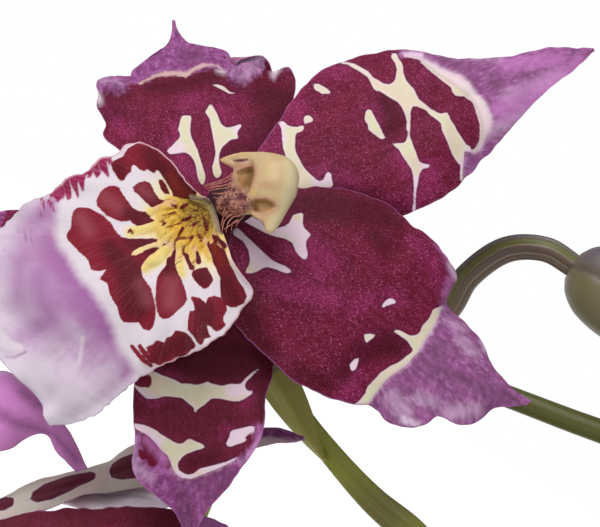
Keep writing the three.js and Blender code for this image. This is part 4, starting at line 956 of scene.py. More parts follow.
# the lip: rows across it, from its claw to the tip of the apron
lipShape = dict(
    rows=[
        [(211, 203, 1.2), (213, 207, 1.1), (215, 212, 1.1), (218, 218, 1.1), (221, 226, 1.2)],
        [(192, 187, 6), (196, 203, 3.2), (201, 224, 2.3), (217, 243, 3.2), (234, 263, 6)],
        [(166, 156, 5), (171, 196, 3.2), (178, 240, 2.5), (213, 266, 3.2), (252, 292, 5)],
        [(139, 142, 2), (146, 200, 2.2), (152, 258, 2.2), (195, 287, 2.2), (240, 313, 2)],
        [(112, 155, 0.5), (119, 216, 1.2), (125, 277, 1.5), (170, 309, 1.2), (216, 340, 0.5)],
        [(82, 171, -1.5), (90, 234, -0.5), (98, 296, 0), (140, 327, -0.5), (184, 356, -1.5)],
        [(48, 192, -4), (60, 254, -2.5), (72, 314, -2), (111, 345, -2.5), (150, 372, -4)],
        [(8, 218, -6.5), (30, 276, -5), (50, 330, -4.5), (84, 363, -5), (120, 394, -6.5)],
        [(-28, 250, -9), (3, 302, -7.5), (33, 341, -7), (59, 383, -7.5), (88, 418, -9)],
        [(-44, 295, -11), (-28, 331, -10), (6, 366, -9), (33, 392, -10), (50, 425, -11)],
    ],
    thickness=0.5, blotchSwell=0.10, crestHeight=0.75, frill=0.5, throatAt=(205, 215), tipLength=26,
)
lipMarks = dict(
    blotches=[
        [(125, 156), (128, 151), (133, 147.5), (138, 144.5), (145, 142), (152, 143.5), (160, 148),
         (168, 154), (175, 161), (183, 170), (190, 179), (195, 187), (196, 196), (185, 199.5),
         (175, 197), (173.7, 192), (170, 186), (165.6, 178.6), (160, 170.5), (157.5, 170),
         (155, 172.8), (151, 171), (148, 168.6), (145, 171), (140.6, 169.8), (136, 165.4),
         (131.7, 165.4), (131.7, 172.8), (127.3, 175.7), (125.8, 179.4), (123, 182), (120.7, 181),
         (118.5, 177), (116, 172.8), (113, 167), (112.5, 163.9), (115.5, 161), (121.4, 158.5)],
        [(100.8, 195), (103.7, 191), (109.6, 188.2), (115.5, 187.9), (120, 189.7), (123, 195),
         (127.3, 202), (133.2, 209.6), (139, 212.6), (146.5, 213), (150.2, 215.5), (149.4, 218.5),
         (155.3, 222), (152.4, 225.8), (145, 228), (139, 227.3), (133.2, 223), (131.7, 220.2),
         (121.4, 221.4), (115.5, 219.2), (108, 215.5), (103.7, 211), (99.3, 206.7), (97.8, 200.8)],
        [(133.9, 189), (139, 183.8), (145, 182), (150.2, 183.8), (153, 189), (155.3, 195), (159.7, 200),
         (167, 202.2), (176, 202.2), (177.4, 204.5), (171.5, 206.7), (165.6, 207.4), (160.5, 208),
         (156.8, 210.3), (152.4, 207.4), (146.5, 202.2), (140.6, 196.3), (136, 192.7)],
        [(159.7, 181), (162.7, 180), (165.6, 184.5), (168.6, 190.4), (170, 194), (165.6, 193.4),
         (162, 189)],
        [(74.2, 221.4), (75.7, 214), (80, 209.6), (89, 209.6), (96.3, 212.6), (103.7, 217),
         (111, 224.4), (115.5, 231.7), (121.4, 238.4), (130.3, 239.8), (142, 240.3), (158, 240),
         (157, 242), (148, 245.5), (139, 248.5), (134, 252), (130.5, 256.3), (137, 256.5),
         (143, 253.5), (150, 248.5), (158, 244.5), (160, 247), (155.3, 252.4), (149.4, 256),
         (144.3, 262.5), (141.3, 267.7), (142, 278), (146.5, 283.2), (151, 289.8), (153, 298.6),
         (155.3, 309), (155.3, 317.8), (153, 326.7), (149.4, 330.3), (143.5, 328), (139, 321.5),
         (124.4, 321.5), (120.7, 316.3), (119.2, 307.5), (114.8, 300), (111, 292.8), (109.6, 284.6),
         (101.8, 280.2), (105.2, 275), (108, 269.2), (100.8, 271.8), (93.4, 270.6), (90.4, 263.3),
         (87.5, 257.4), (80, 251.5), (75.7, 246.5), (69.8, 240.6), (66.9, 235.4), (73.5, 227.3)],
        [(171.5, 257.4), (167.8, 258.8), (167, 266.2), (161.2, 272), (158.3, 278), (157, 288.3),
         (156.8, 300), (158, 310.4), (160.5, 316.3), (164.2, 318.6), (170, 317), (177.4, 311.2),
         (184.8, 304.5), (187, 300), (185.5, 291.3), (182, 282.4), (179, 275), (176, 267.7),
         (175, 258.8)],
        [(193.6, 272), (199.5, 269.2), (206.9, 268.4), (210, 273.6), (212.8, 279.5), (210, 285.4),
         (204.7, 289), (199.5, 285.4), (195, 279.5), (192.2, 275)],
        [(221.7, 278), (214, 262), (209, 248), (216, 241), (226, 252), (231, 265), (236, 274),
         (239, 280.5), (243.8, 288.3), (246.7, 295.7), (243.8, 303), (236.4, 306.8), (230.5, 306.8),
         (224.6, 302.3), (222.4, 297.2), (221.7, 288.3)],
        [(192.2, 298), (199.5, 298.7), (206.9, 305.3), (209, 298.7), (214.3, 297), (221.7, 298.7),
         (226, 304.5), (226.8, 310.4), (223, 316.3), (222.4, 320.8), (225.4, 323.7), (220.2, 329.6),
         (215.8, 331), (211.3, 326.7), (205.4, 323.7), (208.4, 332.6), (211.3, 338.5), (205.4, 338.5),
         (201, 343.6), (196.6, 340), (193.6, 334), (188.5, 329.6), (188.5, 322.2), (190.7, 312),
         (196.6, 312), (195, 306)],
        [(148, 347.3), (153.8, 344.4), (156.8, 340), (165.6, 343.6), (167, 338.5), (173.7, 336.2),
         (177.4, 331), (184.8, 332.6), (189.2, 337), (193.6, 343), (195, 345.8), (189.2, 350.3),
         (183.3, 354.7), (177.4, 359), (168.6, 362.8), (159.7, 365), (155.3, 364.3), (152.4, 359),
         (150.2, 353.2)],
    ],
    rays=[
        [(131.7, 345.8, 1.2), (142, 356, 1.6), (151, 366.5, 1)], [(141, 346, 1.4), (152, 361, 2)],
        [(207, 243, 2), (214, 256, 2.5), (221, 271, 1)], [(196, 250, 1.5), (199, 262, 2.2)],
        [(176, 252, 2.4), (174, 262, 3)], [(165, 245, 2.6), (172, 247, 2)],
        [(186, 255, 1.6), (192, 268, 2.2)], [(214, 238, 2.2), (224, 246, 2.6)],
    ],
    feathers=[
        [(102, 159, 4.5), (105, 168, 4), (109, 178, 0.8)], [(94, 163, 5), (97, 172, 4), (98, 180, 0.8)],
        [(88, 169, 3.6), (91, 179, 1.6)], [(81, 171, 5), (83, 180, 4.2), (84.5, 190, 1.5)],
        [(74, 174, 4.4), (76, 184, 3.8), (78, 197, 1)], [(67, 178, 4.8), (67.5, 189, 4.2), (68, 199, 2)],
        [(59, 182, 4), (61, 192, 3.4), (62, 200, 1.2)], [(54, 186, 4.8), (57, 196, 3.8), (59.5, 204, 1)],
        [(48, 189, 3), (52, 196, 2)], [(41, 198, 1.6), (45, 205, 1.8), (48, 212, 0.8)],
        [(50, 202, 1.4), (54, 208, 1.8), (58, 214, 1)], [(40, 209, 0.8), (43, 217, 0.8)],
        [(108, 158, 2.5), (112, 164, 2)], [(85, 172, 1.5), (96, 164, 1.5), (110, 158, 2)],
    ],
    apron=[[(60, 190), (59.5, 220), (56.5, 233), (59.5, 246.5), (67, 255.3), (74, 266), (81.6, 279.5),
            (95, 293), (102, 304.5), (108, 313.4), (114, 326.7), (117, 341.4), (121.4, 350.3),
            (130.3, 360.6), (139, 372.4), (150, 440), (60, 460), (-80, 420), (-80, 220), (20, 200)]],
    callus=[[(160, 205), (172, 199), (184, 199), (196, 203), (207, 213), (212, 226), (211, 240),
             (206, 250), (196, 254), (184, 254), (172, 250), (164, 245), (158, 236), (157, 226),
             (158, 214)]],
    fingers=[[(164, 207, 4), (150, 213, 2)], [(160, 226, 5), (146, 230, 4), (131, 233, 2.6)],
             [(166, 243, 2.4), (148, 250, 2.4), (133, 256, 1.4)],
             [(168, 249, 4), (156, 259, 5), (146, 268, 3)],
             [(180, 252, 3.4), (178, 263, 2.6), (182, 275, 1)], [(194, 252, 2.6), (193, 264, 1.8)],
             [(204, 246, 1.6), (211, 259, 1)], [(209, 238, 1.4), (218, 254, 0.8)],
             [(212, 231, 1.2), (224, 251, 0.7)], [(178, 168, 0.5), (184, 184, 0.9), (184, 198, 1.6)],
             [(184, 173, 0.4), (189, 186, 0.7)]],
    frost=[[(-6, 333, 6), (8, 344, 5), (21, 348, 2.5)], [(82, 337, 0.6), (81, 352, 1), (79, 366, 0.5)]],
    deep=[[(6, 348, 3), (15, 342, 5), (30, 333, 9), (50, 318, 10)], [(22, 262, 5), (20, 300, 5)],
          [(40, 280, 6), (48, 310, 8)], [(54, 252, 7), (70, 280, 8)],
          [(86, 296, 8), (100, 316, 8), (112, 338, 5)]],
    light=[[(4, 240, 5), (6, 290, 5)], [(50, 222, 5), (64, 240, 4)], [(62, 318, 4), (76, 340, 6)],
           [(30, 372, 10), (80, 388, 12), (112, 376, 9)], [(46, 340, 3), (60, 352, 6)]],
    # lines: purple veins, and as the last stroke a painted shadow under the curled white margin
    lines=[[(20, 218, 0.5), (24, 230, 0.9), (27, 246, 0.4)],
           [(25, 214, 0.4), (30, 230, 0.8), (33, 250, 0.3)],
           [(16, 226, 0.3), (19, 240, 0.6)], [(4, 356, 1.4), (16, 358, 2), (27, 353, 1)]],
    specks=[
        [(128.5, 233, 1), (131, 231.5, 2.2), (134, 235, 1)], [(163.5, 229, 1.4), (166, 226, 1.8)],
        [(171, 230, 1), (180, 227, 1.4)], [(183, 223, 2.4), (190, 220, 2.6)],
        [(178, 237, 1), (183, 232, 1.4)], [(194, 228, 1.8), (197, 225, 1.4)],
        [(190, 243, 1), (193, 239, 1.2)], [(164, 217, 0.6), (176, 215.5, 1)],
        [(181, 209, 1.6), (187, 206, 1.8)], [(172, 206, 0.8), (177, 208.5, 1.2)],
        [(186, 248, 1.2), (184, 255, 1.4)], [(200, 238, 1.2), (202, 245, 1)],
        [(166, 236, 0.8), (172, 233, 0.8)], [(190, 214, 1.2), (196, 212, 1.2)],
        [(174, 243, 1.4), (180, 241, 0.8)], [(203, 222, 1.6), (206, 232, 1.6)],
    ],
    # throat: the hollow between the lip and the column, painted near-black as shade
    throat=[[(200, 192, 2), (209, 200, 3), (216, 210, 4), (220, 222, 4), (221, 232, 3)]],
    ridge=[[(193, 194, 1.4), (203, 197, 1.8), (209, 203, 2), (213, 213, 2), (216, 223, 2), (219, 233, 1.5)]],
    sheen=[[(172, 284, 6), (172, 303, 8)], [(140, 284, 3), (147, 302, 4)], [(106, 199, 5), (118, 208, 5)],
           [(82, 220, 5), (90, 232, 6)], [(143, 190, 3), (150, 197, 2)]],
    # dark: painted shade where the lip is hollowed
    dark=[[(112, 250, 8), (128, 270, 12), (136, 305, 12)], [(150, 246, 6), (130, 244, 6)],
          [(228, 285, 9), (234, 298, 7)], [(205, 312, 10), (205, 332, 8)], [(165, 350, 9), (188, 340, 9)],
          [(202, 278, 6), (202, 278.5, 6)], [(170, 262, 4), (168, 270, 4)], [(140, 220, 5), (130, 214, 5)],
          [(150, 152, 6), (168, 176, 6)], [(120, 168, 5), (124, 176, 4)]],
    ember=[[(172, 176, 3), (186, 194, 5)], [(214, 246, 4), (224, 262, 3)]],
)
lipFinish = dict(
    white=(192, 182, 188), whiteShade=(178, 164, 178), lilac=(150, 100, 144), lilacDeep=(132, 76, 132),
    lilacPale=(180, 154, 178), pale=(188, 176, 188), crimson=(108, 17, 34), crimsonDeep=(60, 5, 16),
    crimsonLit=(146, 84, 92), feather=(124, 22, 62), featherLit=(140, 66, 98),
    cream=(204, 188, 124), yellow=(188, 144, 44),
    olive=(122, 94, 46), speck=(92, 22, 26), throat=(36, 10, 20), ridge=(130, 110, 92),
    edge=(196, 152, 160), ember=(112, 34, 22), line=(110, 70, 104), roughness=0.6,
)


def lipMesh(rows, cols, seed):
    u = np.linspace(0, 1, rows + 1)
    v = np.linspace(0, 1, cols + 1)
    lines = [alongPoints(np.array([bloomPoint(row[c]) for row in lipShape["rows"]]), u) for c in range(5)]
    across = np.stack(lines, 1)
    grid = np.stack([alongPoints(row, v) for row in across])
    spots = outlinePlace(grid)
    if seed:
        spots = spots + 4 * np.stack([softNoise(spots, 50, seed), softNoise(spots, 50, seed + 1)], -1)
    s = bloomFrame["scale"]
    patches = ("blotches", "apron", "callus")
    m = {k: insideAny(spots, *(((), rows) if k in patches else (rows,))) / s for k, rows in lipMarks.items()}
    blotch = np.maximum(m.pop("blotches"), m.pop("rays"))
    m["callus"] = np.maximum(m["callus"], m.pop("fingers"))
    # radiating places for the veins, about the throat
    dx, dy = (spots[..., k] - lipShape["throatAt"][k] for k in (0, 1))
    turn = np.arctan2(dy, dx)
    reach = np.hypot(dx, dy) / s
    edge = np.minimum(v, 1 - v)[None] * np.linalg.norm(grid[:, -1] - grid[:, 0], axis=1)[:, None]
    edge = np.minimum(edge, ((1 - u) * lipShape["tipLength"])[:, None])
    normal = gridNormals(grid)
    side = math.copysign(1, normal[rows // 3, cols // 2][2])
    over = unitRows(grid[:, -1] - grid[:, 0])
    rim = np.exp(-edge / 1.6)
    signs = np.where(v < 0.5, -1, 1)[None]
    rag = 0.22 * rim * signs * softNoise(np.stack([reach * 3.2, turn * 20], -1), 1.6, 5 + seed)
    grid = grid + over[:, None] * rag[..., None]
    frill = lipShape["frill"] * np.exp(-edge / 3.0) * np.clip((u - 0.25) * 3, 0, 1)[:, None]
    lift = frill * np.sin(turn * 26 + 2 * softNoise(spots, 40, 4 + seed))
    fold = 0.5 * np.clip((u - 0.45) * 3, 0, 1)[:, None] * np.sin(turn * 13 + 1.4 + 0.05 * spots[..., 0])
    lift = lift + fold * np.clip(edge / 4, 0.3, 1)
    lift = lift + lipShape["blotchSwell"] * np.clip(blotch / 0.5, 0, 1) * np.clip(edge / 1.5, 0, 1)
    # the callus stands in narrow teeth that point away from the throat
    fan = turn + 0.16 * softNoise(spots, 16, 12 + seed)
    teeth = (softNoise(np.stack([fan * 22, reach * 0.8], -1), 1.0, 9 + seed)
             + 0.5 * softNoise(np.stack([fan * 42, reach * 1.5], -1), 1.0, 10 + seed))
    mound = np.clip(m["callus"] / 0.6 + 0.2, 0, 1)
    lift = lift + lipShape["crestHeight"] * mound * (0.5 + 0.5 * teeth)
    lift = lift + 0.12 * softNoise(spots, 18, 6 + seed)
    lift = lift + 0.5 * np.clip(m["ridge"] / 0.3 + 0.5, 0, 1) - 0.7 * np.clip(m["throat"] / 0.6, 0, 1)
    grid = grid + normal * (side * lift)[..., None]
    values = dict(m, blotch=blotch, teeth=teeth, reach=reach, edge=edge,
                  grain=sideBySide(turn * 12, reach, 5.0 * seed),
                  flat=sideBySide(spots[..., 0] / s, spots[..., 1] / s, 5.0 * seed))
    if side < 0:
        grid = grid[:, ::-1]
        values = {k: w[:, ::-1] for k, w in values.items()}
    thick = lipShape["thickness"] * (0.2 + 0.8 * np.clip(values["edge"] / 2.5, 0, 1))
    return closedSheet(grid, thick, values)


def lipMaterial():
    p = Paint("lipSatin", lipFinish)
    grain, flat = p.vector("grain"), p.vector("flat")
    reach, edge = p.value("reach"), p.value("edge")
    veins = p.noise(p.stretched(grain, 2.6, 0.16, 1), 1.0, 3, 0.6)
    folds = p.noise(p.stretched(grain, 0.8, 0.1, 1), 1.0, 2, 0.5)
    crisp = p.noise(flat, 1.1, 4, 0.65)
    fine = p.noise(flat, 6.5, 3, 0.7)
    broad = p.noise(flat, 0.26, 2)
    shift = (crisp - 0.5) * 0.7 + (fine - 0.5) * 0.15
    white = p.mix(veins.step(0.45, 0.75) * 0.35, "white", "whiteShade")
    warm = 1 - reach.step(3.5, 9.0)
    ground = p.mix(warm, white, "cream")
    lilac = p.mix(broad.step(0.3, 0.7) * 0.4 + folds.step(0.4, 0.7) * 0.3, "lilac", "lilacDeep")
    lilac = p.mix(veins.step(0.42, 0.75) * 0.18 + broad.step(0.45, 0.7) * 0.3, lilac, "lilacPale")
    far = (reach + broad * 6 + (crisp - 0.5) * 3 + (veins - 0.5) * 2).step(19, 33)
    lilac = p.mix(far, lilac, "pale")
    cloud = p.value("light") + (broad - 0.5) * 3 + (crisp - 0.5) * 2
    lilac = p.mix(cloud.step(-1.6, 1.2) * 0.4, lilac, "pale")
    cloud = p.value("deep") + (broad - 0.5) * 3 + (crisp - 0.5) * 3 + (veins - 0.5) * 2
    lilac = p.layers(lilac, [
        (cloud.step(-2.4, 1.8) * 0.62, "lilacDeep"),
        ((p.value("frost") + shift * 0.5).step(-0.4, 0.3) * 0.8, "white"),
        ((p.value("lines") + shift * 0.2).step(-0.1, 0.1) * 0.7, "line"),
        ((1 - edge.step(0.2, 2.2)) * 0.6, "pale"),
    ])
    colour = p.mix((p.value("apron") + shift * 0.8).step(-0.7, 0.9), ground, lilac)
    feather = p.mix(veins.step(0.4, 0.7), "feather", "featherLit")
    colour = p.mix((p.value("feathers") + shift * 0.3).step(-0.12, 0.14), colour, feather)
    yellow = p.mix(reach.step(3.5, 7.5) * 0.75 + veins.step(0.4, 0.75) * 0.3, "yellow", "cream")
    yellow = p.mix((1 - reach.step(1.5, 4.0)) * 0.7, yellow, "olive")
    callus = p.value("callus")
    colour = p.mix((callus + shift * 0.8).step(-0.9, 0.2), colour, yellow)
    # crimson darkens towards the throat and under the dark strokes: painted shade in the hollow of the lip
    crimson = p.mix(reach.step(3, 11) + (broad - 0.5) * 0.5, "crimsonDeep", "crimson")
    crimson = p.layers(crimson, [
        (p.value("dark").step(-1.2, 0.8) * 0.8, "crimsonDeep"),
        (veins.step(0.45, 0.8) * reach.step(7, 14) * 0.25 + (fine.step(0.45, 0.7) * 0.2), "crimsonLit"),
        (p.value("sheen").step(-1.0, 0.9) * (folds * 0.4 + fine * 0.3), "crimsonLit"),
        (p.value("ember").step(-0.8, 0.6) * 0.7, "ember"),
    ])
    blotch = p.value("blotch")
    colour = p.mix(blotch.step(-0.25, 0.0) * 0.3, colour, "edge")
    jag = shift * 0.16 + (veins - 0.5) * 0.35 + (fine - 0.5) * 0.12
    blotch = blotch + 0.08 + jag - (callus.step(-0.1, 0.4) * 0.5)
    colour = p.mix(blotch.step(-0.07, 0.08), colour, crimson)
    # dark crimson between the teeth
    gaps = (1 - (p.value("teeth") + (fine - 0.5) * 0.6).step(-0.6, -0.25)) * callus.step(-0.3, 0.3)
    colour = p.layers(colour, [
        (gaps * (0.9 - reach.step(4, 8) * 0.4), "speck"),
        ((p.value("specks") + shift * 0.3).step(-0.07, 0.08), "speck"),
        # the throat hollow painted near-black: painted shade
        ((p.value("throat") + shift * 0.4).step(-0.2, 0.35), "throat"),
        ((p.value("ridge") + shift * 0.3).step(-0.12, 0.15), "ridge"),
    ])
    margin = (1 - edge.step(0.08, 0.3)) * (1 - p.value("apron").step(-1, 1)) * 0.8
    colour = p.layers(colour, [
        (margin, "edge"),
        (p.value("under").step(0.4, 0.6) * 0.6, "pale"),
    ])
    normal = p.bump(veins * 0.5 + fine * 0.5, 0.3, 0.00012)
    return p.finish(colour, lipFinish["roughness"], normal, Specular_IOR_Level=0.07)


# the column: limbs of (across, down, lift, radius in mm) blended into one body, and its threads
columnShape = dict(
    limbs=[
        [(276, 178, 9.2, 2.75), (275, 187, 9.2, 2.7), (274, 197, 9.0, 2.2), (273.5, 207, 8.7, 1.65),
         (273, 216, 8.4, 1.2), (271, 224, 8.1, 0.9), (270, 228, 8.0, 0.7)],
        [(276, 175, 9.2, 2.5), (270, 168, 9.2, 1.85), (262, 161, 8.9, 1.15), (252, 157, 8.4, 0.68),
         (243, 155.6, 8.0, 0.5), (234, 156.8, 7.6, 0.42), (226, 158.6, 7.2, 0.34),
         (221.5, 159.8, 7.0, 0.24)],
        [(222, 160.2, 7.0, 0.24), (228, 162.6, 7.1, 0.34), (235, 165.5, 7.2, 0.45), (240, 168, 7.2, 0.65)],
        [(259, 163, 9.5, 0.7), (260, 176, 10.2, 0.8), (257, 188, 10.2, 0.8), (252, 197, 9.6, 0.6)],
        [(266, 176, 10.0, 1.5), (264, 192, 9.8, 1.2)], [(256, 197, 9.6, 0.5), (268, 197, 10.2, 0.7)],
        [(254, 213, 8.0, 0.4), (263, 218, 8.3, 0.5), (272, 214, 8.6, 0.6)],
        [(247, 168, 7.2, 1.4), (245, 180, 6.4, 1.7), (241, 191, 5.2, 1.75), (235, 199, 3.9, 1.6),
         (228, 205, 2.6, 1.5)],
        [(260, 205, 7.0, 1.2), (246, 203, 6.0, 1.35), (238, 207, 4.4, 1.2)],
    ],
    smoothing=9, pocketDepth=0.7,
    shadow=[[(252, 170, 1.5), (251, 180, 2), (248, 188, 1)],
            [(255, 200, 1), (262, 199.5, 1.6), (271, 203, 1)]],
    pockets=[[(235, 172), (243, 168), (252.5, 166.5), (255, 170), (254, 179), (250.5, 187),
              (247, 190), (242.5, 188), (238, 182)],
             [(250, 202), (256, 198.5), (266, 198), (274, 202), (277, 206.5), (271, 210.5), (262, 213.5),
              (255, 211.5), (251, 207)]],
    # pale: painted highlight on the hood, and painted light on its side and leg that face away
    pale=[[(288, 163, 4), (294, 178, 9), (290, 196, 8), (282, 214, 7), (274, 228, 6)]],
    warm=[[(262, 184, 3), (270, 186, 4)]],
    stalk=[[(190, 176), (228, 172), (234, 186), (243, 192), (249, 200), (250, 208), (242, 216),
            (228, 224), (200, 222)]],
    side=[[(228, 163), (250, 160), (256, 166), (253, 188), (247, 194), (238, 192), (230, 180)]],
    spot=[[(241, 196, 2), (245, 197, 2.2)], [(234, 160.8, 1), (240, 160.2, 1.8), (247, 159.5, 1.4)]],
    yolk=[[(252, 189, 0.8), (254.5, 194, 1.4)]],
    threads=[
        [(205, 184.8, 4.0), (214.5, 182.5, 5.0), (222.6, 179.7, 6.0), (228.3, 176.8, 7.0),
         (232.4, 173, 7.4)],
        [(204, 186.4, 3.8), (213.4, 184.6, 4.8), (221.4, 182.6, 5.8), (228.3, 180, 6.8), (233, 175.6, 7.3)],
        [(207, 188.4, 3.8), (214.5, 186.6, 4.8), (222.6, 185.4, 5.8), (229.5, 183.4, 6.8),
         (236, 179.5, 7.4)],
        [(208, 190.6, 3.6), (217, 188.8, 4.8), (226, 187.6, 5.8), (233, 186, 6.8), (240, 184, 7.2)],
        [(212, 193, 3.4), (220, 193.4, 4.6), (228, 191, 5.8), (236, 188, 6.6)],
        [(214, 197, 3.2), (222, 199, 4.4), (230, 197, 5.4), (237, 193, 6.2)],
        [(218, 206, 3.0), (225, 204, 4.2), (233, 200, 5.4)],
        [(238, 217, 4.6), (242, 211.3, 5.8), (248, 208, 6.8), (255, 207.5, 7.6)],
        [(235, 216, 4.4), (239.8, 210, 5.6), (245.6, 206, 6.6), (252.5, 205, 7.4)],
        [(232, 214, 4.2), (237, 208, 5.2), (243, 203.6, 6.2), (249, 202, 7.0)],
        [(222, 232, 2.6), (224, 222, 3.6), (229, 216, 4.4), (236, 213, 5.2)],
        [(226, 232, 2.6), (228, 223, 3.6), (233, 217, 4.4), (240, 215, 5.4)],
        [(231, 230, 2.8), (233, 223, 3.8), (238, 219, 4.8)],
        [(221, 226, 2.6), (224, 216, 3.6), (230, 210, 4.6), (238, 208, 5.6)],
        [(236, 226, 3.2), (239, 221, 4.2), (244, 216, 5.2)],
        [(222, 216, 3.0), (226, 207, 4.0), (232, 202, 5.0)],
        [(224, 229, 2.8), (232, 224, 3.8), (241, 219, 5.0)],
    ],
    threadRadius=(0.06, 0.075, 0.07, 0.05),
)
columnFinish = dict(
    cap=(176, 152, 112), capPale=(196, 184, 146), capShade=(170, 140, 96), capWarm=(166, 122, 94),
    pocket=(112, 80, 32), pocketLit=(158, 118, 74), rimPink=(174, 128, 108), spot=(76, 20, 40),
    yolk=(190, 154, 60), stalk=(142, 88, 76), stripe=(78, 28, 38), stalkLit=(182, 134, 112),
    side=(160, 118, 94), thread=(190, 122, 108), roughness=0.4,
)


def limbBalls(limb):
    # balls close enough along a limb to look like one drawn-out form
    rows = np.array([[*bloomPoint(ball[:3]), ball[3]] for ball in limb])
    balls = []
    for a, b in zip(rows[:-1], rows[1:]):
        steps = max(2, math.ceil(np.linalg.norm(b[:3] - a[:3]) / (0.35 * min(a[3], b[3]))))
        balls += [a + (b - a) * k / steps for k in range(steps + 1)]
    return [(Vector(ball[:3]), ball[3]) for ball in balls]


def blendedBalls(balls, voxel, smoothing):
    # worked out with a millimetre as the unit
    bm = bmesh.new()
    for centre, radius in balls:
        bmesh.ops.create_icosphere(bm, subdivisions=3 if radius > 1 else 2, radius=radius,
                                   matrix=Matrix.Translation(centre))
    mesh = bpy.data.meshes.new("balls")
    bm.to_mesh(mesh)
    bm.free()
    body = bpy.data.objects.new("balls", mesh)
    bpy.context.scene.collection.objects.link(body)
    joined = body.modifiers.new("joined", "REMESH")
    joined.mode = "VOXEL"
    joined.voxel_size = voxel
    soft = body.modifiers.new("soft", "SMOOTH")
    soft.factor = 0.5
    soft.iterations = smoothing
    done = body.evaluated_get(bpy.context.evaluated_depsgraph_get()).to_mesh()
    points, normals = np.empty((2, len(done.vertices) * 3))
    done.vertices.foreach_get("co", points)
    done.vertices.foreach_get("normal", normals)
    faces = [list(p.vertices) for p in done.polygons]
    bpy.data.objects.remove(body)
    bpy.data.meshes.remove(mesh)
    return points.reshape(-1, 3), normals.reshape(-1, 3), faces


def columnMesh(voxel, threadSides):
    shape = columnShape
    s = bloomFrame["scale"]
    balls = [ball for limb in shape["limbs"] for ball in limbBalls(limb)]
    points, normals, faces = blendedBalls(balls, voxel, max(2, round(shape["smoothing"] * 0.14 / voxel)))
    spots = outlinePlace(points)
    pocket = insideAny(spots, (), shape["pockets"]) / s
    facing = np.clip(normals[:, 2] * 2, 0, 1)
    push = shape["pocketDepth"] * np.clip(pocket / 0.6, 0, 1) ** 0.7 * facing
    points = points - np.array([0, 0, 1.0]) * push[:, None]
    grain = np.concatenate([spots / s, points[:, 2:]], 1)
    near = {k: insideAny(spots, shape[k]) / s for k in ("spot", "yolk", "pale", "warm", "shadow")}
    for k in ("stalk", "side"):
        near[k] = insideAny(spots, (), shape[k]) / s
    parts = [(points, faces, dict(
        near, pocket=np.where(normals[:, 2] > -0.2, pocket, -3), thread=np.zeros(len(points)),
        grain=grain))]
    for line in shape["threads"]:
        path = [bloomPoint(raw) for raw in line]
        p, f, _ = stem(path, shape["threadRadius"], threadSides, 4 * threadSides, side=(0, 0, 1))
        n = len(p)
        far = {k: np.full(n, -3.0) for k in ("spot", "yolk", "pale", "warm", "shadow", "pocket", "side")}
        parts.append((p, f, dict(far, stalk=np.ones(n), thread=np.ones(n), grain=p)))
    return joinParts(parts)


def columnMaterial():
    p = Paint("columnWax", columnFinish)
    grain = p.vector("grain")
    broad = p.noise(grain, 0.5, 2)
    stripes = p.noise(p.stretched(grain, 0.5, 2.6, 0.5), 1.0, 3, 0.6)
    fine = p.noise(grain, 6.0, 2, 0.6)
    colour = p.mix(broad.step(0.35, 0.7) * 0.5, "cap", "capShade")
    colour = p.layers(colour, [
        # painted highlight and painted light along the hood's right side
        (p.value("pale").step(-0.8, 0.8) * 0.8, "capPale"),
        (p.value("warm").step(-0.6, 0.6) * 0.6, "capWarm"),
    ])
    pocket = p.value("pocket")
    colour = p.mix(pocket.step(-0.7, -0.1) * 0.6, colour, "rimPink")
    stalk = p.mix(stripes.step(0.42, 0.58), "stalk", "stripe")
    bits = p.noise(grain, 1.7, 4, 0.7)
    stalk = p.layers(stalk, [
        (bits.step(0.5, 0.64) * 0.8, "stalkLit"),
        ((1 - bits.step(0.34, 0.46)) * 0.8, "stripe"),
    ])
    colour = p.layers(colour, [
        ((p.value("side") + (broad - 0.5) * 0.6).step(-0.5, 0.4), "side"),
        ((p.value("stalk") + (broad - 0.5) * 0.8).step(-0.5, 0.4), stalk),
    ])
    # the hollows painted darker brown-olive, darkest under the shadow strokes: painted shade with an olive
    # tint
    hollow = p.mix((p.value("shadow") + (broad - 0.5) * 0.6).step(-0.9, 0.3), "pocketLit", "pocket")
    colour = p.layers(colour, [
        ((pocket + (fine - 0.5) * 0.2).step(-0.3, 0.4), hollow),
        ((p.value("spot") + (fine - 0.5) * 0.2).step(-0.1, 0.15), "spot"),
        (p.value("yolk").step(-0.15, 0.15) * 0.8, "yolk"),
    ])
    strand = p.mix(bits.step(0.4, 0.6), "thread", "stalk")
    colour = p.mix(p.value("thread").step(0.4, 0.6), colour, strand)
    return p.finish(colour, columnFinish["roughness"], p.bump(fine, 0.15, 0.0001),
                    Subsurface_Weight=0.15, Subsurface_Scale=0.0012, Specular_IOR_Level=0.3)


# one bloom: five tepals, the lip, the column and the joint behind
def makeBloom(name, tepals, place, mapFor, lipMap, cut, seed, waveSeed, materials):
    draw = seededDraw(waveSeed)
    waves = [dict(count=2.2 + draw() * 0.6, phase=draw() * 6, height=cut["wave"]) for _ in tepals]
    for i, outline in enumerate(tepals):
        rows, cols = cut["own"].get(tepalNames[i], (cut["rows"], cut["cols"]))
        mesh = tepalMesh(outline, place, rows, cols, waves[i], seed)
        addMapped(f"{name}.{tepalNames[i]}", mesh, mapFor(i), [f"{name}_tepals"],
                  materials["tepal"])
    addMapped(f"{name}.joint", hubMesh(), lipMap["hub"], [f"{name}_tepals"], materials["joint"])
    addMapped(f"{name}.lip", lipMesh(cut["lipRows"], cut["lipCols"], seed), lipMap["lip"],
              [f"{name}_lip"], materials["lip"])
    addMapped(f"{name}.column", columnMesh(cut["columnVoxel"], 6 if cut["columnVoxel"] > 0.2 else 10),
              lipMap["lip"], [f"{name}_column"], materials["column"])
    print(name, "made")


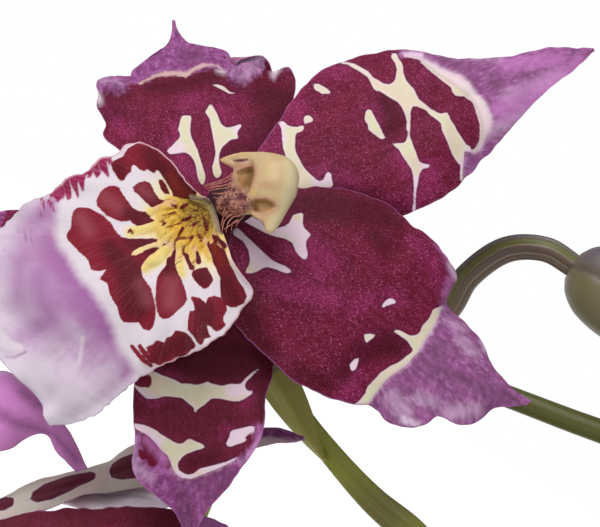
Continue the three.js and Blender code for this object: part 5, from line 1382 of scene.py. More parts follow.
def addMapped(name, mesh, move, replaced, material):
    points, faces, values = mesh
    # a mirrored bloom has its faces turned back
    axes = move(np.array([[0, 0, 0], [1, 0, 0], [0, 1, 0], [0, 0, 1.0]]))
    if np.linalg.det(axes[1:] - axes[0]) < 0:
        faces = [list(face)[::-1] for face in faces]
    newPiece(name, (move(points), faces, values), replaced, material)


hubShape = dict(radius=3.3, half=1.7, rings=13, sides=28)


def hubMesh():
    # a small domed joint behind the tepals, where the stalk ends
    n, rows, half = hubShape["sides"], hubShape["rings"], hubShape["half"]
    a = (np.arange(n) / n * 2 * math.pi)[:, None]
    side = unit(np.cross(planeFacing, (0, 1, 0)))
    other = np.cross(planeFacing, side)
    rings = [hubMiddle + planeFacing * half * math.cos(v) + hubShape["radius"] * math.sin(v) * (
        np.cos(a) * side + np.sin(a) * other) for v in np.linspace(0, math.pi, rows + 2)[1:-1]]
    points = np.vstack(rings + [[hubMiddle + planeFacing * half, hubMiddle - planeFacing * half]])
    faces = ringFaces(rows, n, False, inward=True)
    faces += [[rows * n, j, (j + 1) % n] for j in range(n)]
    faces += [[rows * n + 1, (rows - 1) * n + (j + 1) % n, (rows - 1) * n + j] for j in range(n)]
    return points, faces, dict(grain=points.copy(), front=(points - hubMiddle) @ planeFacing)


def jointMaterial():
    # the joint is green behind and dark where it shows in the throat: painted shade of the hollow there
    p = Paint("jointSkin")
    fine = p.noise(p.vector("grain"), 2.5, 3, 0.6)
    green = p.mix(fine, tint(*stemFinish["green"]), tint(*stemFinish["deep"]))
    dark = p.mix(fine.step(0.4, 0.7), tint(*lipFinish["throat"]), tint(*lipFinish["crimsonDeep"]))
    colour = p.mix(p.value("front").step(-0.4, 0.3), green, dark)
    return p.finish(colour, 0.6, p.bump(fine, 0.3, 0.0002), Specular_IOR_Level=0.2)


def allBlooms(materials):
    makeBloom("bloom_1", regularTepals, bloomPoint, lambda i: worldMap, dict(hub=worldMap, lip=worldMap),
              fineCut, 0, 11, materials)
    b = secondBloom
    lipAt = np.array(b["at"]) + 1.3 * unit(b["facing"])
    makeBloom(b["name"], secondTepals, depthPoint, lambda i: worldMap,
              dict(hub=bloomMap(b), lip=bloomMap(dict(b, at=lipAt))), secondCut, b["seed"], b["seed"],
              materials)
    for b in lowerBlooms:
        draw = seededDraw(b["seed"])
        bends = [(-2 - 2 * draw()) if i == 4 else -3.5 * draw() for i in range(5)]
        swings = [(draw() - 0.5) * 0.12 for _ in range(5)]
        moves = [bloomMap(b, bend, swing) for bend, swing in zip(bends, swings)]
        makeBloom(b["name"], regularTepals, bloomPoint, lambda i: moves[i],
                  dict(hub=bloomMap(b), lip=bloomMap(b, 0.4, 0)), plainCut, b["seed"], b["seed"],
                  materials)


# the flower spike with its stalks, ribbed ovaries and bracts
bedTop = 97.0
spikeFoot = (36, -18, 88)
upperNode = seen(268, 366, -30)
bendNode = seen(396, 352, -30)
spikeShape = dict(
    points=[spikeFoot, (37, -17, 140), (36, -14, 190), (32, -10, 245), (26, -6, 300), (19, -4, 350),
            (12, -4, 395), (6, -4, 435), (2.5, -4, 462), upperNode, bendNode, seen(455, 377, -28),
            seen(512, 398, -27), seen(567, 419, -26), seen(622, 440, -25), (50, -10.2, 499.3),
            (64, -12, 494.5), (80, -14, 484)],
    radii=[2.6, 2.6, 2.5, 2.4, 2.3, 2.2, 2.1, 2.0, 1.9, 1.8, 1.5, 1.4, 1.4, 1.45, 1.5, 1.4, 1.1, 0.8],
    backReach=2.0, pedicelRadii=[0.95, 1.0, 1.15, 1.45, 1.6, 1.3],
    bractStalk=[upperNode, seen(283, 385, -28), seen(303, 418, -26), seen(338, 462, -24),
                seen(373, 500, -23), seen(408, 530, -22), seen(432, 555, -22)],
    bractStalkRadii=[1.5, 1.45, 1.35, 1.5, 1.75, 2.0, 1.9],
    archStalk=[bendNode, seen(425, 340, -29), seen(450, 306, -28), seen(468, 276, -27),
               seen(505, 250, -26), seen(545, 249, -25), seen(576, 267, -24.5)],
    archRadii=[1.3, 1.45, 1.6, 1.65, 1.65, 1.6, 1.5],
    smallStalk=[(61, -11.5, 495.5), (66, -10, 499), (70, -9, 504)],
)
stemFinish = dict(
    green=(138, 142, 56), deep=(104, 104, 40), flush=(84, 58, 54), pale=(162, 156, 88), colourAndShadeBands=[
        (-0.95, (58, 34, 34)), (-0.72, (96, 76, 70)), (-0.6, (70, 46, 48)), (-0.45, (126, 114, 104)),
        (-0.35, (84, 60, 60)), (0.1, (76, 54, 60)), (0.2, (112, 104, 80)), (0.28, (74, 74, 36)),
        (0.55, (82, 82, 42)), (0.68, (64, 60, 50)), (0.8, (92, 84, 92)), (0.98, (60, 52, 62))],
    base=(112, 82, 72), tip=(62, 62, 18), roughness=0.42,
)


def spikeAt(height):
    u = np.arange(401) / 400 * 0.6
    path = alongPoints(spikeShape["points"], u)
    return path[np.abs(path[:, 2] - height).argmin()]


def stemMaterial(name, purple, light=0, banded=0):
    # purple: how far the flush of purple brown goes; light: a pale coat over all, painted light for a part
    # that lies in shade; banded: how far bands run along it, 0 to 1, with painted highlight lines and
    # painted shade at the edges
    p = Paint(name, stemFinish)
    place = p.place()
    grain = p.vector("grain")
    lines = p.noise(p.stretched(grain, 2.2, 0.05, 1), 1.0, 3, 0.6)
    broad = p.noise(place, 60.0, 2)
    fine = p.noise(place, 2600.0, 2, 0.6)
    colour = p.mix(broad.step(0.35, 0.7), "green", "deep")
    colour = p.layers(colour, [
        (lines.step(0.5, 0.75) * 0.5, "pale"),
        (broad.step(0.3, 0.6) * purple + lines.step(0.4, 0.6) * purple * 0.4, "flush"),
    ])
    # bands across a stalk by where a point lies as the eye sees it: green and purple-brown ribs with painted
    # highlight lines and painted shade along the edges
    if banded:
        place = (p.value("over") + (lines - 0.5) * 0.12) * 0.5 + 0.5
        colourAndShadeBands = p.node("ShaderNodeValToRGB", dict(stops=[
            ((at + 1) / 2, tint(*c)) for at, c in stemFinish["colourAndShadeBands"]]), {"Fac": place})
        colourAndShadeBands = p.mix((1 - p.value("along").step(0.1, 0.55)) * 0.75, colourAndShadeBands, "base")
        colour = p.mix(banded, colour, colourAndShadeBands)
    colour = p.layers(colour, [
        (fine.step(0.6, 0.75) * 0.2, "pale"),
        # light: painted light, a pale coat for a part that lies in shade
        (light, "pale"),
        (p.value("toTip") * 0.9, "tip"),
    ])
    return p.finish(colour, stemFinish["roughness"], p.bump(lines * 0.7 + fine * 0.3, 0.3, 0.0002),
                    Specular_IOR_Level=0.3)


def bractMesh(base, tip, sideways, width):
    # a small sheath, bowed round the stem at its base and drawn out to a point
    base, tip = np.asarray(base, float), np.asarray(tip, float)
    along = tip - base
    out = unit(np.cross(along, sideways))
    over = unit(sideways)
    u = np.linspace(0, 1, 37)[:, None]
    t = np.linspace(-1, 1, 21)[None]
    half = width * 0.5 * (1 - u ** 1.6) + 0.12
    fold = 0.45 * width * (1 - 0.6 * u) * np.cos(t * math.pi / 2) - 0.3 * u * (1 - u)
    grid = base + along * u[..., None] + over * (t * half)[..., None] + out * fold[..., None]
    grid = grid + out * (0.25 * softNoise(grid, 4, 3))[..., None]
    grain = sideBySide(t * half, u * np.linalg.norm(along), 0 * u * t)
    return closedSheet(grid, 0.4 * (1 - 0.6 * np.abs(t)) + 0 * u, dict(grain=grain, along=u + 0 * t))


def pedicelPath(node, end, facing, bow):
    near = end - facing * 9
    middle = (node + near) / 2 + np.array(bow)
    return [node, middle, near, end]


def makeSpike(materials):
    shape = spikeShape

    def addPart(name, made, skin):
        newPiece(f"spike.{name}", made, ["flower_spike"], materials[skin])

    for name, points, radii, sides, steps, ribs, depth, skin in (
            ("stem", "points", shape["radii"], 24, 340, 7, 0.02, "stem"),
            ("bractStalk", "bractStalk", shape["bractStalkRadii"], 28, 90, 6, 0.05, "stem"),
            ("archStalk", "archStalk", shape["archRadii"], 64, 120, 6, 0.08, "archStem"),
            ("smallStalk", "smallStalk", [0.8, 0.9, 0.9], 16, 16, 0, 0.0, "stem")):
        made = stem(shape[points], radii, sides, steps, ribs=ribs, ribDepth=depth)
        if name == "stem":
            # the far end is darker
            made[2]["toTip"] = np.clip((made[2]["along"] - 0.55) / 0.15, 0, 1)
        addPart(name, made, skin)
    facing = unit(worldMap(planeFacing) - topBloomAt)
    stalks = [(np.array([3.4, -4, 455]), worldMap(hubMiddle), facing, (-5, 1, -1))]
    # bracts at the top node, under each lower bloom's stalk and down the bare stem
    bracts = [(seen(277, 379, -28), seen(325, 461, -22.5), seen(305, 365, -29) - seen(270, 392, -29), 4.6)]
    for b in [secondBloom] + lowerBlooms:
        at, node = np.array(b["at"], float), spikeAt(b["node"])
        side = math.copysign(1, at[0])
        stalks.append((node, at, unit(b["facing"]), (2 * side, 2, 1)))
        bracts.append((node + (side * 0.8, 0.5, -3), node + (side * 5, 2.2, 8), (0, 1, 0), 3.6))
    for height, side in ((160, 1), (222, -1), (280, 1)):
        node = spikeAt(height)
        bracts.append((node + (side * 1.6, 0, -4), node + (side * 3.6, 0.5, 16), (0, 1, 0), 5))
    for i, (node, at, face, bow) in enumerate(stalks):
        path = pedicelPath(node, at - face * shape["backReach"], face, bow)
        addPart(f"stalk{i + 1}", stem(path, shape["pedicelRadii"], 24, 60, (0.2, 1, 0.1),
                                      ribs=6, ribDepth=0.06), "archStem")
    addPart("bracts", joinParts([bractMesh(*b) for b in bracts]), "bract")
    print("spike made")


# closed buds
budShape = dict(
    profile=[(0, 0.35), (0.05, 0.62), (0.16, 0.88), (0.34, 1), (0.55, 0.94), (0.75, 0.7), (0.9, 0.38),
             (1, 0.04)],
    lobe=0.06, seam=0.05,
)
budFinish = dict(olive=(92, 82, 52), grey=(72, 58, 72), green=(80, 78, 42), seam=(56, 38, 42),
                 roughness=0.45)


def budMesh(base, tip, radius):
    base, tip = np.asarray(base, float), np.asarray(tip, float)
    along = unit(tip - base)
    length = np.linalg.norm(tip - base)
    side = unit(np.array([0, 1.0, 0]) - along * along[1])
    other = np.cross(along, side)
    rows, sides = 60, 48
    u = np.linspace(0, 1, rows + 1)
    shape = alongPoints(budShape["profile"], u)
    a = np.arange(sides) / sides * 2 * math.pi
    spread = shape[:, 1:2]
    # three sepals, closed along slightly twisted seams
    twist = 3 * a[None] + 1.2 * u[:, None]
    lobe = 1 + budShape["lobe"] * np.cos(twist) - budShape["seam"] * np.exp(-((np.cos(twist) + 1) / 0.05))
    r = radius * spread * lobe
    grid = (base + along * length * shape[:, :1, None] + side * (r * np.cos(a))[..., None]
            + other * (r * np.sin(a))[..., None])
    grain = sideBySide(a[None] * radius * spread, u[:, None] * length, 0)
    seam = np.exp(-((np.cos(twist) + 1) / 0.04))
    # the side that lies up and to the right in the picture
    upper = upAxis + 0.6 * acrossAxis
    lit = (grid - base) @ (upper - along * along.dot(upper)) / radius
    return grid.reshape(-1, 3), ringFaces(rows + 1, sides), dict(
        grain=grain.reshape(-1, 3), seam=seam.ravel(), lit=lit.ravel(), along=np.repeat(u, sides))


def budMaterial():
    p = Paint("budSkin", budFinish)
    grain = p.vector("grain")
    lines = p.noise(p.stretched(grain, 1.6, 0.08, 1), 1.0, 3, 0.6)
    broad = p.noise(p.place(), 130.0, 2)
    fine = p.noise(grain, 6.0, 2, 0.6)
    colour = p.mix((p.value("lit") + (broad - 0.5) * 1.2).step(-0.3, 0.7), "olive", "grey")
    colour = p.layers(colour, [
        (lines.step(0.45, 0.7) * 0.5, "green"),
        (p.value("along").step(0.5, 1.0) * 0.4, "green"),
        (p.value("seam") * 0.7, "seam"),
    ])
    return p.finish(colour, budFinish["roughness"], p.bump(lines * 0.6 + fine * 0.4, 0.25, 0.0002),
                    Subsurface_Weight=0.06, Subsurface_Scale=0.001, Sheen_Weight=0.1)


def makeBuds(material):
    first = seen(432, 555, -22)
    way = unit(first - seen(408, 530, -22))
    second = seen(573, 266, -24.5)
    secondWay = unit(seen(672, 330, -22) - second)
    gap = 0.1
    rows = [
        ("bud_1", first + way * gap, first + way * 25, 6.2),
        ("bud_2", second + secondWay * gap, second + secondWay * 22, 5.6),
        ("bud_3", (70.3, -8.9, 504.3), (79, -6, 513), 3.4),
        ("bud_4", (80.4, -14.05, 483.7), (90, -16, 476), 2.7),
    ]
    for name, base, tip, radius in rows:
        newPiece(f"{name}.closed", budMesh(base, tip, radius), [name], material)
    print("buds made")


# pseudobulbs
bulbRows = [
    dict(name="pseudobulb_1", x=16, y=-8, height=66, half=(17, 9.5), turn=0.15, tilt=3),
    dict(name="pseudobulb_2", x=-9, y=6, height=72, half=(16, 9), turn=0.5, tilt=-2),
    dict(name="pseudobulb_3", x=-31, y=15, height=56, half=(13, 8), turn=0.9, tilt=-5),
]
bulbFinish = dict(green=(126, 142, 74), deep=(92, 112, 54), yellow=(158, 156, 88), flush=(118, 92, 74),
                  dry=(170, 146, 108), dryDeep=(122, 96, 66), roughness=0.36)


def bulbSurface(bulb, heights, angle, spread, grow=0.0, groove=0.012):
    # heights and spread are columns, or a value for each point
    a = angle[None]
    ridge = 1 + 0.045 * np.cos(6 * a) - groove * np.exp(-((np.cos(6 * a) + 1) / 0.2))
    c = np.cos(a) * (bulb["half"][0] * spread * ridge + grow)
    s = np.sin(a) * (bulb["half"][1] * spread * ridge + grow)
    ct, st = math.cos(bulb["turn"]), math.sin(bulb["turn"])
    x = bulb["x"] + c * ct - s * st + bulb["tilt"] * heights / bulb["height"]
    return np.stack([x, bulb["y"] + c * st + s * ct, bedTop + heights + 0 * a], -1)


def bulbProfile(bulb, u):
    h = bulb["height"]
    shape = [(-8, 0.72), (4, 0.8), (0.18 * h, 0.95), (0.36 * h, 1), (0.55 * h, 0.93), (0.74 * h, 0.74),
             (0.9 * h, 0.5), (h, 0.36)]
    return alongPoints(shape, u)


# papery sheaths left round the foot: where each starts, how far round it goes and how high
sheathShape = dict(rows=[(0.4, 2.6, 0.5), (3.4, 2.4, 0.36)], foot=1.5, thickness=0.25, jag=0.16,
                   crumple=0.22)


def sheathMesh(bulb, profile, n, k):
    shape = sheathShape
    start, sweep, top = shape["rows"][k]
    a = start + np.linspace(0, sweep, 45)
    u = np.linspace(0, 1, 29)[:, None]
    cover = np.sin(math.pi * np.linspace(0.06, 0.94, 45)) ** 0.6
    jag = 1 + shape["jag"] * softNoise(sideBySide(a * 4, 0), 1.0, 31 + 7 * n + k)
    heights = shape["foot"] + u * (bulb["height"] * top * cover * jag - shape["foot"])[None]
    spread = np.interp(heights, profile[:, 0], profile[:, 1])
    grid = bulbSurface(bulb, heights, a, spread, 0.55 + 0.5 * k + 0.9 * u ** 3, groove=0)
    grid = grid + shape["crumple"] * softNoise(grid, 3.5, 51 + k)[..., None] * (1, 1, 0)
    if gridNormals(grid)[14, 22].dot(grid[14, 22] - (bulb["x"], bulb["y"], bedTop + 20)) < 0:
        grid = grid[:, ::-1]
    return closedSheet(grid, shape["thickness"], dict(grain=sideBySide(a * 14, heights, 2.0 * n + k)))


def makeBulbs(material, dryMaterial):
    sides = 96
    angle = np.arange(sides) / sides * 2 * math.pi
    for n, bulb in enumerate(bulbRows):
        profile = bulbProfile(bulb, np.linspace(0, 1, 70))
        height = profile[:, :1]
        grid = bulbSurface(bulb, height, angle, profile[:, 1:2])
        out = grid - grid.mean(1, keepdims=True)
        grid = grid + unitRows(out) * (0.2 * softNoise(grid, 9, 11 + n))[..., None]
        values = dict(grain=sideBySide(angle * 14, height, 3.0 * n).reshape(-1, 3),
                      ridge=(np.cos(6 * angle) + 0 * height).ravel(),
                      high=(height / bulb["height"] + 0 * angle).ravel())
        body = grid.reshape(-1, 3), ringFaces(len(grid), sides), values
        newPiece(f"{bulb['name']}.body", body, [bulb["name"]], material)
        sheaths = joinParts([sheathMesh(bulb, profile, n, k) for k in (0, 1)])
        newPiece(f"{bulb['name']}.sheaths", sheaths, [bulb["name"]], dryMaterial)
    print("bulbs made")


def bulbMaterial():
    p = Paint("bulbSkin", bulbFinish)
    grain = p.vector("grain")
    lines = p.noise(p.stretched(grain, 1.2, 0.05, 1), 1.0, 3, 0.6)
    broad = p.noise(p.place(), 45.0, 3)
    fine = p.noise(p.place(), 1500.0, 2, 0.6)
    pores = p.noise(p.place(), 700.0, 2, 0.5)
    colour = p.mix(broad.step(0.35, 0.65), "green", "deep")
    colour = p.layers(colour, [
        (lines.step(0.45, 0.7) * 0.45, "yellow"),
        (p.value("ridge").step(0.4, 1.1) * 0.35, "yellow"),
        ((1 - p.value("high").step(0.0, 0.35)) * 0.45, "flush"),
        (pores.step(0.66, 0.72) * 0.5, "deep"),
    ])
    return p.finish(colour, bulbFinish["roughness"], p.bump(lines * 0.6 + fine * 0.4, 0.3, 0.0004),
                    Subsurface_Weight=0.05, Subsurface_Scale=0.002, Specular_IOR_Level=0.5)


def dryMaterial():
    p = Paint("drySheath", bulbFinish)
    grain = p.vector("grain")
    lines = p.noise(p.stretched(grain, 3.0, 0.06, 1), 1.0, 4, 0.65)
    broad = p.noise(p.place(), 90.0, 2)
    colour = p.mix(lines.step(0.35, 0.7), "dry", "dryDeep")
    colour = p.mix(broad.step(0.5, 0.75) * 0.6, colour, "dryDeep")
    return p.finish(colour, 0.7, p.bump(lines, 0.5, 0.0003))


# leaves
leafRows = [
    dict(name="leaf_1", bulb=0, offset=(1.4, -1.7), azimuth=-64, length=250, width=31, rise=(70, -48)),
    dict(name="leaf_2", bulb=0, offset=(-1.4, 1.7), azimuth=38, length=240, width=29, rise=(86, 10)),
    dict(name="leaf_3", bulb=1, offset=(1.4, 1.7), azimuth=98, length=290, width=32, rise=(85, 2)),
    dict(name="leaf_4", bulb=1, offset=(-1.4, -1.7), azimuth=194, length=275, width=31, rise=(82, -30)),
    dict(name="leaf_5", bulb=2, offset=(0, 0), azimuth=165, length=230, width=27, rise=(80, -45)),
    dict(name="leaf_6", foot=(30, 3), lift=1.3, azimuth=-4, length=215, width=26, rise=(76, -40)),
    dict(name="leaf_7", foot=(-1, -15), lift=1.26, azimuth=-118, length=190, width=25, rise=(74, -40)),
    dict(name="leaf_8", foot=(-18, 27), lift=0.8, azimuth=112, length=200, width=25, rise=(78, -8)),
]
leafShape = dict(solidRows=11, rows=100, cols=24, thickness=0.7, veins=0.07, keel=0.5)
leafFinish = dict(green=(74, 104, 44), deep=(46, 74, 32), pale=(128, 148, 78), yellow=(150, 150, 72),
                  underside=(104, 128, 68), tip=(150, 116, 66), roughness=0.34)


def bedHeight(radius):
    return bedTop - 2 * max(0.0, (radius - 22) / 22)


def leafMesh(spec, seed):
    shape = leafShape
    turn = math.radians(spec["azimuth"])
    outward = np.array([math.cos(turn), math.sin(turn), 0])
    over = np.array([-math.sin(turn), math.cos(turn), 0])
    if "bulb" in spec:
        bulb = bulbRows[spec["bulb"]]
        start = np.array([bulb["x"] + bulb["tilt"] + spec["offset"][0], bulb["y"] + spec["offset"][1],
                          bedTop + bulb["height"] + 0.3 + 0.75])
    else:
        start = np.array([*spec["foot"], bedHeight(math.hypot(*spec["foot"])) + spec["lift"]])

    def rise(u):
        return np.radians(spec["rise"][0] + (spec["rise"][1] - spec["rise"][0]) * u ** 1.5)

    # the solid's spine, then a smooth curve through it
    spine = [start]
    for i in range(shape["solidRows"]):
        r = rise(i / shape["solidRows"])
        spine.append(spine[-1] + (outward * math.cos(r) + np.array([0, 0, math.sin(r)]))
                     * spec["length"] / shape["solidRows"])
    u = np.linspace(0, 1, shape["rows"] + 1)
    path = alongPoints(np.array(spine), u)
    r = rise(u)[:, None]
    along = outward * np.cos(r) + np.array([0, 0, 1.0]) * np.sin(r)
    face = -np.cross(over, along)
    half = (0.5 * spec["width"] * np.minimum(1, 0.3 + 1.5 * u)
            * np.sqrt(np.clip(1 - u ** 3.2, 0, 1)) + 0.35)[:, None]
    fold = np.radians(52 - 40 * np.minimum(1, 1.4 * u))[:, None]
    t = np.linspace(-1, 1, shape["cols"] + 1)[None]
    bent = np.sqrt(t * t + 0.004) - 0.0632
    side = np.where(t > 0, 1.3, 0)
    ripple = 1.1 * np.abs(t) * np.sin(9 * u[:, None] + spec["azimuth"] + side) * np.sin(3 * u[:, None])
    ripple = ripple + 0.5 * np.abs(t) ** 2 * softNoise(
        sideBySide(u[:, None] * 9, np.sign(t) * 3), 1.0, 21 + seed)
    rib = -shape["veins"] * np.cos(t * half * 2 * math.pi / 1.7) * (1 - np.abs(t))
    grid = (path[:, None] + over * (t * half * np.cos(fold))[..., None]
            + face[:, None] * (-bent * half * np.sin(fold) + ripple + rib)[..., None])
    grain = sideBySide(t * half, u[:, None] * spec["length"], 4.0 * seed)
    edge = (1 - np.abs(t)) * half
    keel = shape["keel"] * np.exp(-((t * half) / 1.1) ** 2) * (1 - 0.7 * u[:, None])
    values = dict(grain=grain, along=u[:, None] + 0 * t, edge=edge, middle=np.abs(t * half))
    thick = shape["thickness"] * (0.45 + 0.55 * np.clip(edge / 3, 0, 1)) + keel
    if gridNormals(grid)[60, shape["cols"] // 2].dot(face[60]) < 0:
        grid, thick = grid[:, ::-1], thick[:, ::-1]
        values = {k: v[:, ::-1] for k, v in values.items()}
    return closedSheet(grid, thick, values)


def leafMaterial():
    p = Paint("leafSkin", leafFinish)
    grain = p.vector("grain")
    veins = p.noise(p.stretched(grain, 1.3, 0.012, 1), 1.0, 3, 0.6)
    hair = p.noise(p.stretched(grain, 5.0, 0.05, 1), 1.0, 2, 0.6)
    broad = p.noise(p.stretched(grain, 0.05, 0.02, 1), 1.0, 2)
    mottle = p.noise(grain, 0.9, 4, 0.7)
    colour = p.mix(broad.step(0.3, 0.7), "deep", "green")
    colour = p.layers(colour, [
        (veins.step(0.42, 0.7) * 0.5, "pale"),
        (mottle.step(0.6, 0.8) * 0.35, "deep"),
        ((1 - p.value("middle").step(0.15, 0.9)) * 0.5, "pale"),
        ((1 - p.value("along").step(0.0, 0.10)) * 0.55, "yellow"),
        ((1 - p.value("edge").step(0.1, 0.45)) * 0.4, "yellow"),
    ])
    burnt = (p.value("along") + (mottle - 0.5) * 0.02).step(0.982, 0.992)
    colour = p.layers(colour, [
        (burnt * 0.85, "tip"),
        (p.value("under").step(0.4, 0.6) * 0.55, "underside"),
    ])
    rough = 0.28 + mottle * 0.16
    return p.finish(colour, rough, p.bump(veins * 0.7 + hair * 0.3, 0.25, 0.0003),
                    Specular_IOR_Level=0.5, Coat_Weight=0.06, Coat_Roughness=0.3)


def makeLeaves(material):
    for n, spec in enumerate(leafRows):
        newPiece(f"{spec['name']}.blade", leafMesh(spec, n), [spec["name"]], material)
    print("leaves made")


# potting bark
barkShape = dict(seed=5, chips=260, reach=50.5, long=(5, 13), wide=(3.5, 7.5), thick=(1.6, 3.8),
                 tries=6000, stones=70, stoneReach=49, stone=(1.2, 2.6), bedSides=120, bedRadius=51.3)
barkFinish = dict(brown=(112, 78, 54), dark=(62, 42, 32), light=(158, 118, 84), grey=(136, 122, 108),
                  grain=(232, 228, 220), soil=(52, 38, 30))


def chipMesh(rng, size, at, turn):
    # a split, blunt-edged piece of bark
    bm = bmesh.new()
    bmesh.ops.create_cube(bm, size=1.0)
    bmesh.ops.subdivide_edges(bm, edges=bm.edges[:], cuts=2, use_grid_fill=True)
    points = np.array([v.co[:] for v in bm.verts])
    faces = [[v.index for v in face.verts] for face in bm.faces]
    bm.free()
    round = points / np.linalg.norm(points, axis=1, keepdims=True) * 0.62
    points = points * 0.72 + round * 0.28
    points[:, 0] *= 1 + 0.35 * points[:, 1] * rng.uniform(-1, 1)
    points[:, 1] *= 1 + 0.5 * points[:, 0] * rng.uniform(-1, 1)
    points = points * size
    points = points + 0.11 * min(size) * rng.uniform(-1, 1, points.shape) + \
        0.12 * size[2] * softNoise(points + at, 2.2, 5)[:, None] * np.array([0.4, 0.4, 1])
    tilt = Matrix.Rotation(turn[2], 3, "Z") @ Matrix.Rotation(turn[1], 3, "Y") @ \
        Matrix.Rotation(turn[0], 3, "X")
    grain = points * (0.5, 1.5, 1.5) + rng.uniform(0, 80)
    tone = np.full(len(points), rng.uniform())
    return points @ np.array(tilt).T + at, faces, dict(grain=grain, tone=tone)


def makeBark(material, stoneSkin):
    shape = barkShape
    rng = np.random.default_rng(shape["seed"])
    n, edge = shape["bedSides"], shape["bedRadius"]
    angle = np.arange(n) / n * 2 * math.pi
    circle = np.stack([np.cos(angle), np.sin(angle)], -1)
    rings = []
    for r in np.linspace(0.01, edge, 46):
        lumps = 0.5 * softNoise(r * circle, 3.0, 2)
        rings.append(sideBySide(*(r * circle).T, bedHeight(r) - 1.2 + lumps))
    # down the pot's inner wall and across its floor
    rings += [sideBySide(*(r * circle).T, z) for r, z in ((edge, 90), (36.4, 6.4), (0.01, 6.4))]
    grid = np.vstack(rings)
    newPiece("barkBed.soil", (grid, ringFaces(len(rings), n, False, inward=True),
                              dict(grain=grid, tone=np.full(len(grid), -1.0))),
             ["bark_bed"], material)
    feet = [(spec["foot"], 3.5) for spec in leafRows if "foot" in spec] + [(spikeFoot, 3.0)]
    parts, centres = [], []
    for _ in range(shape["tries"]):
        if len(parts) == shape["chips"]:
            break
        a, r = rng.uniform(0, 2 * math.pi), shape["reach"] * math.sqrt(rng.uniform())
        x, y = r * math.cos(a), r * math.sin(a)
        size = np.array([rng.uniform(*shape[k]) for k in ("long", "wide", "thick")])
        reach = math.hypot(size[0], size[1]) / 2
        if r + reach * 0.75 > 51 or inBulb(x, y, reach * 0.5):
            continue
        if any(math.hypot(x - foot[0], y - foot[1]) < room + reach * 0.6 for foot, room in feet):
            continue
        near = sum(math.hypot(x - cx, y - cy) < 5.5 for cx, cy in centres)
        if near > 2:
            continue
        centres.append((x, y))
        z = bedHeight(r) - 0.6 + 0.9 * near + rng.uniform(-0.3, 0.4)
        turn = (rng.uniform(-0.35, 0.35), rng.uniform(-0.35, 0.35), rng.uniform(0, 2 * math.pi))
        parts.append(chipMesh(rng, size, np.array([x, y, z]), turn))
    newPiece("barkBed.chips", joinParts(parts), ["bark_bed"], material)
    stones = []
    while len(stones) < shape["stones"]:
        a, r = rng.uniform(0, 2 * math.pi), shape["stoneReach"] * math.sqrt(rng.uniform())
        x, y = r * math.cos(a), r * math.sin(a)
        if inBulb(x, y, 1.5):
            continue
        size = np.full(3, rng.uniform(*shape["stone"]))
        stones.append(chipMesh(rng, size, np.array([x, y, bedHeight(r) + rng.uniform(-0.2, 1.6)]),
                               rng.uniform(0, 6, 3)))
    newPiece("barkBed.stones", joinParts(stones), ["bark_bed"], stoneSkin)
    print("bark made:", len(parts), "chips")


def inBulb(x, y, margin):
    for bulb in bulbRows:
        dx, dy = x - bulb["x"], y - bulb["y"]
        ct, st = math.cos(bulb["turn"]), math.sin(bulb["turn"])
        c, s = dx * ct + dy * st, -dx * st + dy * ct
        if (c / (bulb["half"][0] * 0.84 + margin)) ** 2 + (s / (bulb["half"][1] * 0.84 + margin)) ** 2 < 1:
            return True
    return False


def barkMaterial():
    p = Paint("barkChip", barkFinish)
    grain = p.vector("grain")
    layers = p.noise(p.stretched(grain, 0.25, 0.25, 1.6), 1.0, 4, 0.65)
    crust = p.noise(grain, 0.9, 5, 0.7)
    colour = p.mix(p.value("tone").step(0.1, 0.9), "brown", "dark")
    colour = p.layers(colour, [
        (layers.step(0.45, 0.65) * 0.6, "light"),
        (crust.step(0.5, 0.7) * 0.55, "dark"),
        (p.value("tone").step(0.75, 0.8) * crust.step(0.35, 0.6) * 0.6, "grey"),
        (1 - p.value("tone").step(-0.9, -0.5), "soil"),
    ])
    return p.finish(colour, 0.88, p.bump(layers * 0.5 + crust * 0.5, 0.8, 0.0006))


def stoneMaterial():
    p = Paint("paleGrain", barkFinish)
    crust = p.noise(p.vector("grain"), 2.0, 4, 0.7)
    colour = p.mix(crust.step(0.4, 0.7), "grain", "grey")
    return p.finish(colour, 0.9, p.bump(crust, 0.6, 0.0004))


# the pot
potShape = dict(
    profile=[(0, 0), (38.5, 0), (39.5, 0.1), (41.2, 0.5), (41.9, 1.5), (42.4, 4), (55.2, 88.5),
             (55.7, 90.6), (56.6, 91.6), (59.0, 92.3), (60.4, 93.3), (60.95, 94.8), (61, 97),
             (61, 106.5), (60.8, 108.4), (60.0, 109.6), (58.8, 110), (57.2, 110), (56.1, 109.7),
             (55.2, 108.6), (54.8, 106.5), (53.4, 98), (52, 92), (50, 78), (37.9, 8.2), (37.2, 6.5),
             (35.6, 6), (0, 6)],
    segments=112, holes=5, holeRadius=4.0, holeCircle=24.0, holeTurn=0.3,
)
potFinish = dict(clay=(188, 112, 74), light=(206, 140, 102), deep=(150, 80, 52), bloom=(220, 198, 180),
                 damp=(132, 72, 48), roughness=0.86)


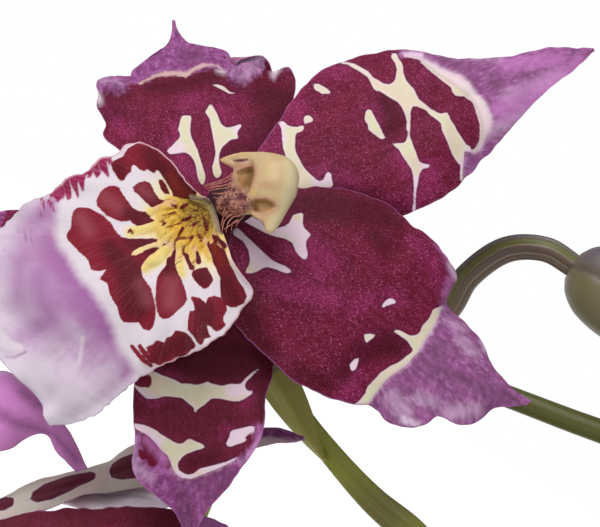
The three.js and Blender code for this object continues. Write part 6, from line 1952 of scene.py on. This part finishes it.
def makePot(material):
    shape = potShape
    n = shape["segments"]
    profile = np.array(shape["profile"], float)
    fine = [profile[0]]
    for a, b in zip(profile[:-1], profile[1:]):
        steps = max(1, int(np.linalg.norm(b - a) / 2.0))
        fine += [a + (b - a) * k / steps for k in range(1, steps + 1)]
    fine = np.array(fine)
    inner = fine[1:-1]
    angle = np.arange(n) / n * 2 * math.pi
    r = inner[:, :1] + 0 * angle
    # faint turning rings and an uneven hand-thrown wall
    wall = (inner[:, 0] > 43) & (inner[:, 1] > 4)
    rings = 0.05 * np.sin(inner[:, 1] * 1.9) * wall
    r = r + rings[:, None]
    z = inner[:, 1:2] + 0 * angle
    grid = np.stack([r * np.cos(angle), r * np.sin(angle), z], -1)
    points = np.vstack([[(0, 0, 0)], grid.reshape(-1, 3), [(0, 0, 6)]])
    faces = (np.array(ringFaces(len(inner), n, False)) + 1).tolist()
    last = len(points) - 1
    faces += [[0, 1 + (j + 1) % n, 1 + j] for j in range(n)]
    faces += [[last, last - n + j, last - n + (j + 1) % n] for j in range(n)]
    pot = newPiece("pot.body", (points, faces, {}), ["pot"], material)
    bm = bmesh.new()
    for i in range(shape["holes"]):
        a = i / shape["holes"] * 2 * math.pi + shape["holeTurn"]
        at = Matrix.Translation(Vector((math.cos(a), math.sin(a), 0)) * shape["holeCircle"] * mm
                                + Vector((0, 0, 3 * mm)))
        bmesh.ops.create_cone(bm, cap_ends=True, segments=40, radius1=shape["holeRadius"] * mm,
                              radius2=shape["holeRadius"] * mm, depth=10 * mm, matrix=at)
    drillMesh = bpy.data.meshes.new("drill")
    bm.to_mesh(drillMesh)
    bm.free()
    drill = bpy.data.objects.new("drill", drillMesh)
    bpy.context.scene.collection.objects.link(drill)
    cut = pot.modifiers.new("holes", "BOOLEAN")
    cut.operation = "DIFFERENCE"
    cut.solver = "EXACT"
    cut.object = drill
    done = bpy.data.meshes.new_from_object(pot.evaluated_get(bpy.context.evaluated_depsgraph_get()))
    pot.modifiers.clear()
    pot.data = done
    bpy.data.objects.remove(drill)
    for poly in done.polygons:
        poly.use_smooth = True
    done.set_sharp_from_angle(angle=math.radians(40))
    print("pot made")


def clayMaterial():
    p = Paint("firedClay", potFinish)
    place = p.place()
    broad = p.noise(place, 22.0, 3, 0.55)
    cloud = p.noise(place, 60.0, 4, 0.6)
    speckle = p.noise(place, 900.0, 2, 0.6)
    rings = p.noise(p.stretched(place, 6, 6, 260), 1.0, 3, 0.5)
    high = p.node("ShaderNodeSeparateXYZ", {}, {0: place}, "Z")
    colour = p.mix(broad.step(0.35, 0.7), "clay", "light")
    colour = p.layers(colour, [
        (cloud.step(0.5, 0.75) * 0.5, "deep"),
        (rings.step(0.5, 0.7) * 0.25, "light"),
    ])
    low = 1 - (high + (cloud - 0.5) * 0.03).step(0.0, 0.03)
    colour = p.mix(low * 0.55, colour, "damp")
    chalk = (cloud + (broad - 0.5) * 0.8).step(0.56, 0.74) * (high + (broad - 0.5) * 0.06).step(0.045, 0.1)
    colour = p.layers(colour, [
        (chalk * 0.45, "bloom"),
        (speckle.step(0.64, 0.72) * 0.35, "deep"),
    ])
    return p.finish(colour, potFinish["roughness"],
                    p.bump(speckle * 0.4 + rings * 0.4 + cloud * 0.2, 0.5, 0.0004))


# all pieces
materials = dict(
    tepal=tepalMaterial(), lip=lipMaterial(), column=columnMaterial(),
    stem=stemMaterial("stemSkin", 0.15), archStem=stemMaterial("ribbedStalk", 0.5, banded=0.85),
    bract=stemMaterial("bractSkin", 0.0, 0.45), joint=jointMaterial(),
)
allBlooms(materials)
makeSpike(materials)
makeBuds(budMaterial())
makeBulbs(bulbMaterial(), dryMaterial())
makeLeaves(leafMaterial())
makeBark(barkMaterial(), stoneMaterial())
makePot(clayMaterial())
